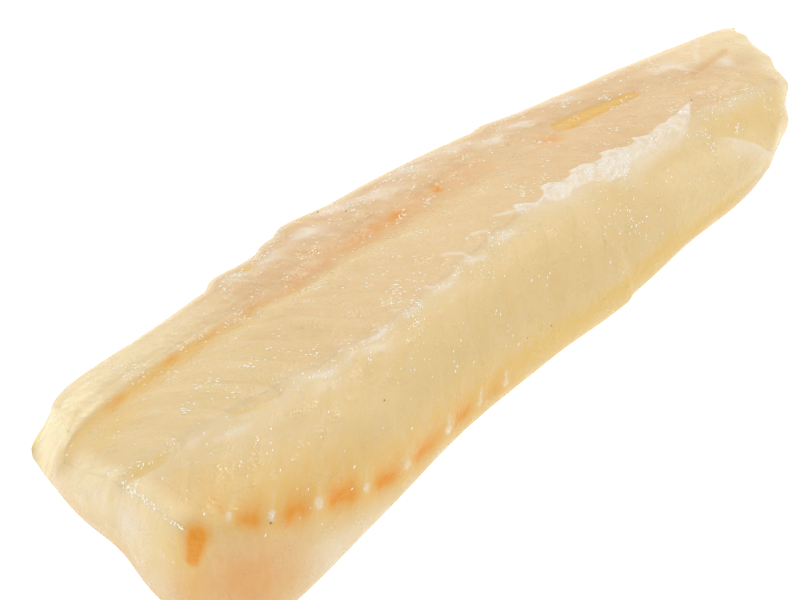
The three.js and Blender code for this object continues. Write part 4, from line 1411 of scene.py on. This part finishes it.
def scatter_tree(lumps):
    """Scatters lumps over a skin, as thickly as one of its masks says, along its fibres."""
    graph, given, out = group(
        "Lumps on skin",
        "GeometryNodeTree",
        [
            ("Skin", "NodeSocketGeometry", None),
            ("Mask", "NodeSocketString", "wet"),
            ("Density", "NodeSocketFloat", 1.0),
            *LUMP_INPUTS,
        ],
        [("Geometry", "NodeSocketGeometry")],
    )
    mask = graph.add("GeometryNodeInputNamedAttribute", {"Name": given["Mask"]}, data_type="FLOAT")
    density = graph.maths("MULTIPLY", mask.outputs["Attribute"], given["Density"])
    points = graph.add(
        "GeometryNodeDistributePointsOnFaces",
        {"Mesh": given["Skin"], "Density": density, "Seed": given["Seed"]},
    ).outputs
    fibre = graph.add("GeometryNodeInputNamedAttribute", {"Name": "fibre"}, data_type="FLOAT_VECTOR")
    turn = graph.add(
        "FunctionNodeAlignRotationToVector",
        {"Rotation": points["Rotation"], "Vector": fibre.outputs["Attribute"]},
        axis="X",
        pivot_axis="Z",
    ).outputs[0]
    wanted = {name: given[name] for name, _, _ in LUMP_INPUTS}
    finished = use_group(graph, lumps, dict(wanted, Points=points["Points"], Turn=turn))
    graph.put(out.inputs[0], finished[0])
    return graph.tree


def add_object(name, data):
    """Adds an object for a mesh, a lamp or a camera to the scene."""
    made = bpy.data.objects.new(name, data)
    bpy.context.scene.collection.objects.link(made)
    return made


def grow(name, base, tree, values):
    """Runs a geometry tree over a base mesh and keeps the result as a plain object of the loin."""
    source = add_object(name + "_base", base)
    modifier = source.modifiers.new("Grow", "NODES")
    modifier.node_group = tree
    sockets = {item.name: item.identifier for item in tree.interface.items_tree if item.in_out == "INPUT"}
    for label, value in values.items():
        modifier[sockets[label]] = value
    evaluated = source.evaluated_get(bpy.context.evaluated_depsgraph_get())
    mesh = bpy.data.meshes.new_from_object(evaluated)
    mesh.name = name
    bpy.data.objects.remove(source)
    if not mesh.polygons:
        raise RuntimeError(f"{name} came out empty")
    return keep(add_object(name, mesh))


def keep(piece):
    """Makes a finished piece part of the loin."""
    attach(piece, BODY)
    return piece


def points_mesh(made, name, stations, lines):
    """A mesh of loose points on the flesh, at some stations and lines of the section."""
    points = made["flesh"].at(stations, lines)
    mesh = bpy.data.meshes.new(name)
    mesh.from_pydata(((points - made["shift"]) * MM).tolist(), [], [])
    return mesh


def shader_colour(name, about, default):
    """A colour in the panel."""
    return bpy.props.FloatVectorProperty(
        name=name, description=about, default=default, subtype="COLOR", size=3, min=0, max=1
    )


def length(name, about, default):
    """A length in the panel, in metres."""
    return bpy.props.FloatProperty(name=name, description=about, default=default, unit="LENGTH", precision=5)


def amount(name, about, default):
    """A plain number in the panel."""
    return bpy.props.FloatProperty(name=name, description=about, default=default)


class LoinSizes(bpy.types.PropertyGroup):
    """Sizes of the loin and of its small pieces."""

    length: length("Length", "From the cut end to the tip of the tail", 0.262)
    width: length("Width", "Across the widest part", 0.089)
    thickness: length("Thickness", "At the thickest part", 0.030)
    flake_pitch: length("Flake pitch", "Length of a flake at the cut end", 0.0124)
    flake_swell: length("Flake swell", "Height of a flake above the gaps beside it", 0.0005)
    stations: bpy.props.IntProperty(name="Stations", description="Sections along the loin", default=420)
    shred_density: amount("Shreds", "Shreds for each square metre of torn tissue", 300000.0)
    bead_density: amount("Beads", "Beads of moisture for each square metre of wet flesh", 1000000.0)
    seed: bpy.props.IntProperty(name="Seed", description="Start of all that varies by chance", default=11)


class LoinColours(bpy.types.PropertyGroup):
    """Colours and translucency of the flesh."""

    flesh: shader_colour("Flesh", "Plain muscle", (0.70, 0.53, 0.285))
    light_flesh: shader_colour("Light flesh", "Paler clouds in the muscle", (0.73, 0.575, 0.34))
    # Warm also lays painted light and shade on the low front rim, and painted shade in the seam's hollows.
    warm: shader_colour("Warm", "Yellow muscle of the front side", (0.735, 0.505, 0.16))
    # Rosy also lays painted shade beside the seam and at the low front corner by the cut end.
    rosy: shader_colour("Rosy", "Pinkish muscle of the back strip", (0.69, 0.46, 0.24))
    # Pale is partly painted light: thin rims made pale as light glows through them and falls on them.
    pale: shader_colour("Pale", "Cut face and thin rims", (0.95, 0.82, 0.53))
    blood: shader_colour("Dark muscle", "Orange-brown dark muscle and blood spots", (0.75, 0.285, 0.0))
    white: shader_colour("White tissue", "Connective tissue", (0.80, 0.71, 0.58))
    speck: shader_colour("Speck", "Tiny dark specks", (0.05, 0.03, 0.015))
    translucency: amount("Translucency", "Share of light that passes under the surface", 0.3)
    scatter_depth: length("Scatter depth", "How far light spreads under the surface", 0.003)


class StageSizes(bpy.types.PropertyGroup):
    """The floor, the lights and the camera."""

    floor: length("Floor", "Side of the floor", 6.0)
    sky: amount("Sky", "Strength of the even light", 0.95)
    key: amount("Key", "Power of the light behind", 1.0)
    fill: amount("Fill", "Power of the light beside the tail", 0.25)
    floor_glow: amount("Floor glow", "Light that the floor gives", 0.88)
    lens: amount("Lens", "Focal length in millimetres", 60.0)
    distance: length("Distance", "From the camera to what it looks at", 0.370)
    azimuth: amount("Azimuth", "Degrees round the loin", -45.0)
    elevation: amount("Elevation", "Degrees above the floor", 50.0)
    target: bpy.props.FloatVectorProperty(
        name="Target", description="Point that the camera looks at", default=(-0.02894, 0.00497, 0), size=3
    )


class Workshop:
    """What the operators share: the form, the finished flesh and the finishes."""

    made = {}

    @classmethod
    def get(cls, scene):
        """All that is shared, made at the first call."""
        if not cls.made:
            form = LoinForm(scene.loin_sizes)
            flesh = Flesh(form)
            mesh, shift = loin_mesh(form, flesh, "loin_flesh")
            finishes = Finishes(scene.loin_colours)
            lumps = lump_group()
            cls.made.update(form=form, flesh=flesh, mesh=mesh, shift=shift)
            cls.made.update(finishes=finishes, lumps=lumps, scatter=scatter_tree(lumps))
        return cls.made


def metres(size):
    """A size in metres from millimetres."""
    return [measure * MM for measure in size]


def scatter(made, name, mask, density, size, finish):
    """Scatters lumps over the flesh where a mask says."""
    values = {
        "Mask": mask,
        "Density": density,
        "Size": metres(size),
        "Spread": SCATTER_SPREAD,
        "Seed": made["form"].seed,
        "Finish": finish,
    }
    return grow(name, made["mesh"].copy(), made["scatter"], values)


class LOIN_OT_flesh(bpy.types.Operator):
    """Builds the loin's flesh in place of its plain solid."""

    bl_idname = "loin.flesh"
    bl_label = "Flesh"

    def execute(self, context):
        made = Workshop.get(context.scene)
        piece = keep(add_object("loin_flesh", made["mesh"]))
        piece.data.materials.append(made["finishes"].flesh)
        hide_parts(NODE)
        return {"FINISHED"}


class LOIN_OT_shreds(bpy.types.Operator):
    """Adds torn shreds of white tissue along the seam and the back strip."""

    bl_idname = "loin.shreds"
    bl_label = "Shreds"

    def execute(self, context):
        made = Workshop.get(context.scene)
        density = context.scene.loin_sizes.shred_density
        scatter(made, "torn_shreds", "shreds", density, SHRED_SIZE, made["finishes"].tissue)
        return {"FINISHED"}


class LOIN_OT_moisture(bpy.types.Operator):
    """Adds wet beads over the top, coloured near white as painted glints."""

    bl_idname = "loin.moisture"
    bl_label = "Moisture"

    def execute(self, context):
        made = Workshop.get(context.scene)
        density = context.scene.loin_sizes.bead_density
        scatter(made, "moisture_beads", "wet", density, BEAD_SIZE, made["finishes"].moisture)
        return {"FINISHED"}


class LOIN_OT_specks(bpy.types.Operator):
    """Adds the few tiny dark specks."""

    bl_idname = "loin.specks"
    bl_label = "Specks"

    def execute(self, context):
        made = Workshop.get(context.scene)
        stations, lines = np.array(SPECKS).T
        points = points_mesh(made, "dark_specks", stations, lines)
        values = {"Size": metres(SPECK_SIZE), "Spread": SPECK_SPREAD, "Finish": made["finishes"].speck}
        grow("dark_specks", points, made["lumps"], values)
        return {"FINISHED"}


# Places of the lamps in metres, which look at the loin's middle, and the side of each lamp
LAMPS = {"key": (0.33, 0.45, 0.62), "fill": (0.5, -0.04, 0.66)}
LAMP_SIZE = 0.09
WHITE = (1, 1, 1, 1)
SENSOR_WIDTH, NEAREST = 36, 0.01


class LOIN_OT_stage(bpy.types.Operator):
    """Adds the pale floor, the soft light and the camera."""

    bl_idname = "loin.stage"
    bl_label = "Stage"

    def execute(self, context):
        sizes = context.scene.loin_stage
        self.floor(sizes)
        self.light(context.scene, sizes)
        self.camera(context.scene, sizes)
        return {"FINISHED"}

    def floor(self, sizes):
        """A pale floor that gives some light of its own."""
        half = sizes.floor / 2
        corners = [(-half, -half, 0), (half, -half, 0), (half, half, 0), (-half, half, 0)]
        mesh = bpy.data.meshes.new("floor")
        mesh.from_pydata(corners, [], [(0, 1, 2, 3)])
        material, graph, shader = new_material("pale floor")
        set_cloudy(graph, shader, scale=8.0, dark=(0.33, 0.33, 0.33), light=(0.35, 0.35, 0.35))
        shader.inputs["Roughness"].default_value = 0.9
        shader.inputs["Emission Color"].default_value = WHITE
        shader.inputs["Emission Strength"].default_value = sizes.floor_glow
        mesh.materials.append(material)
        add_object("floor", mesh)

    def light(self, scene, sizes):
        """An even sky and two soft lamps."""
        world = bpy.data.worlds.new("soft sky")
        world.use_nodes = True
        sky = world.node_tree.nodes["Background"]
        sky.inputs["Color"].default_value = WHITE
        sky.inputs["Strength"].default_value = sizes.sky
        scene.world = world
        for name, place in LAMPS.items():
            data = bpy.data.lights.new(name, "AREA")
            data.energy = getattr(sizes, name)
            data.size = LAMP_SIZE
            lamp = add_object(name, data)
            lamp.location = place
            lamp.rotation_euler = (-Vector(place)).to_track_quat("-Z", "Y").to_euler()
        scene.view_settings.view_transform = "Standard"

    def camera(self, scene, sizes):
        """A camera that looks down at the loin."""
        data = bpy.data.cameras.new("camera")
        data.lens = sizes.lens
        data.sensor_width = SENSOR_WIDTH
        data.clip_start = NEAREST
        camera = add_object("camera", data)
        turn, lift = np.radians(sizes.azimuth), np.radians(sizes.elevation)
        back = Vector((np.sin(turn) * np.cos(lift), -np.cos(turn) * np.cos(lift), np.sin(lift)))
        camera.location = Vector(sizes.target) + back * sizes.distance
        camera.rotation_euler = back.to_track_quat("Z", "Y").to_euler()
        scene.camera = camera


class LOIN_PT_panel(bpy.types.Panel):
    """Lists the loin's sizes, colours and makers."""

    bl_label = "Cod loin"
    bl_idname = "LOIN_PT_panel"
    bl_space_type = "VIEW_3D"
    bl_region_type = "UI"
    bl_category = "Cod loin"

    def draw(self, context):
        for settings in (context.scene.loin_sizes, context.scene.loin_colours, context.scene.loin_stage):
            for name in settings.__annotations__:
                self.layout.prop(settings, name)
        for operator in OPERATORS:
            self.layout.operator(operator.bl_idname)


OPERATORS = (LOIN_OT_flesh, LOIN_OT_shreds, LOIN_OT_moisture, LOIN_OT_specks, LOIN_OT_stage)
SETTINGS = {"loin_sizes": LoinSizes, "loin_colours": LoinColours, "loin_stage": StageSizes}


def register():
    """Makes the settings, the operators and the panel known."""
    for kind in (*SETTINGS.values(), *OPERATORS, LOIN_PT_panel):
        bpy.utils.register_class(kind)
    for name, kind in SETTINGS.items():
        setattr(bpy.types.Scene, name, bpy.props.PointerProperty(type=kind))


def unregister():
    """Takes them away again."""
    for name in SETTINGS:
        delattr(bpy.types.Scene, name)
    for kind in (LOIN_PT_panel, *OPERATORS, *SETTINGS.values()):
        bpy.utils.unregister_class(kind)


def main():
    """Builds the loin and its stage."""
    register()
    bpy.ops.loin.flesh()
    bpy.ops.loin.shreds()
    bpy.ops.loin.moisture()
    bpy.ops.loin.specks()
    bpy.ops.loin.stage()


if __name__ == "__main__":
    main()
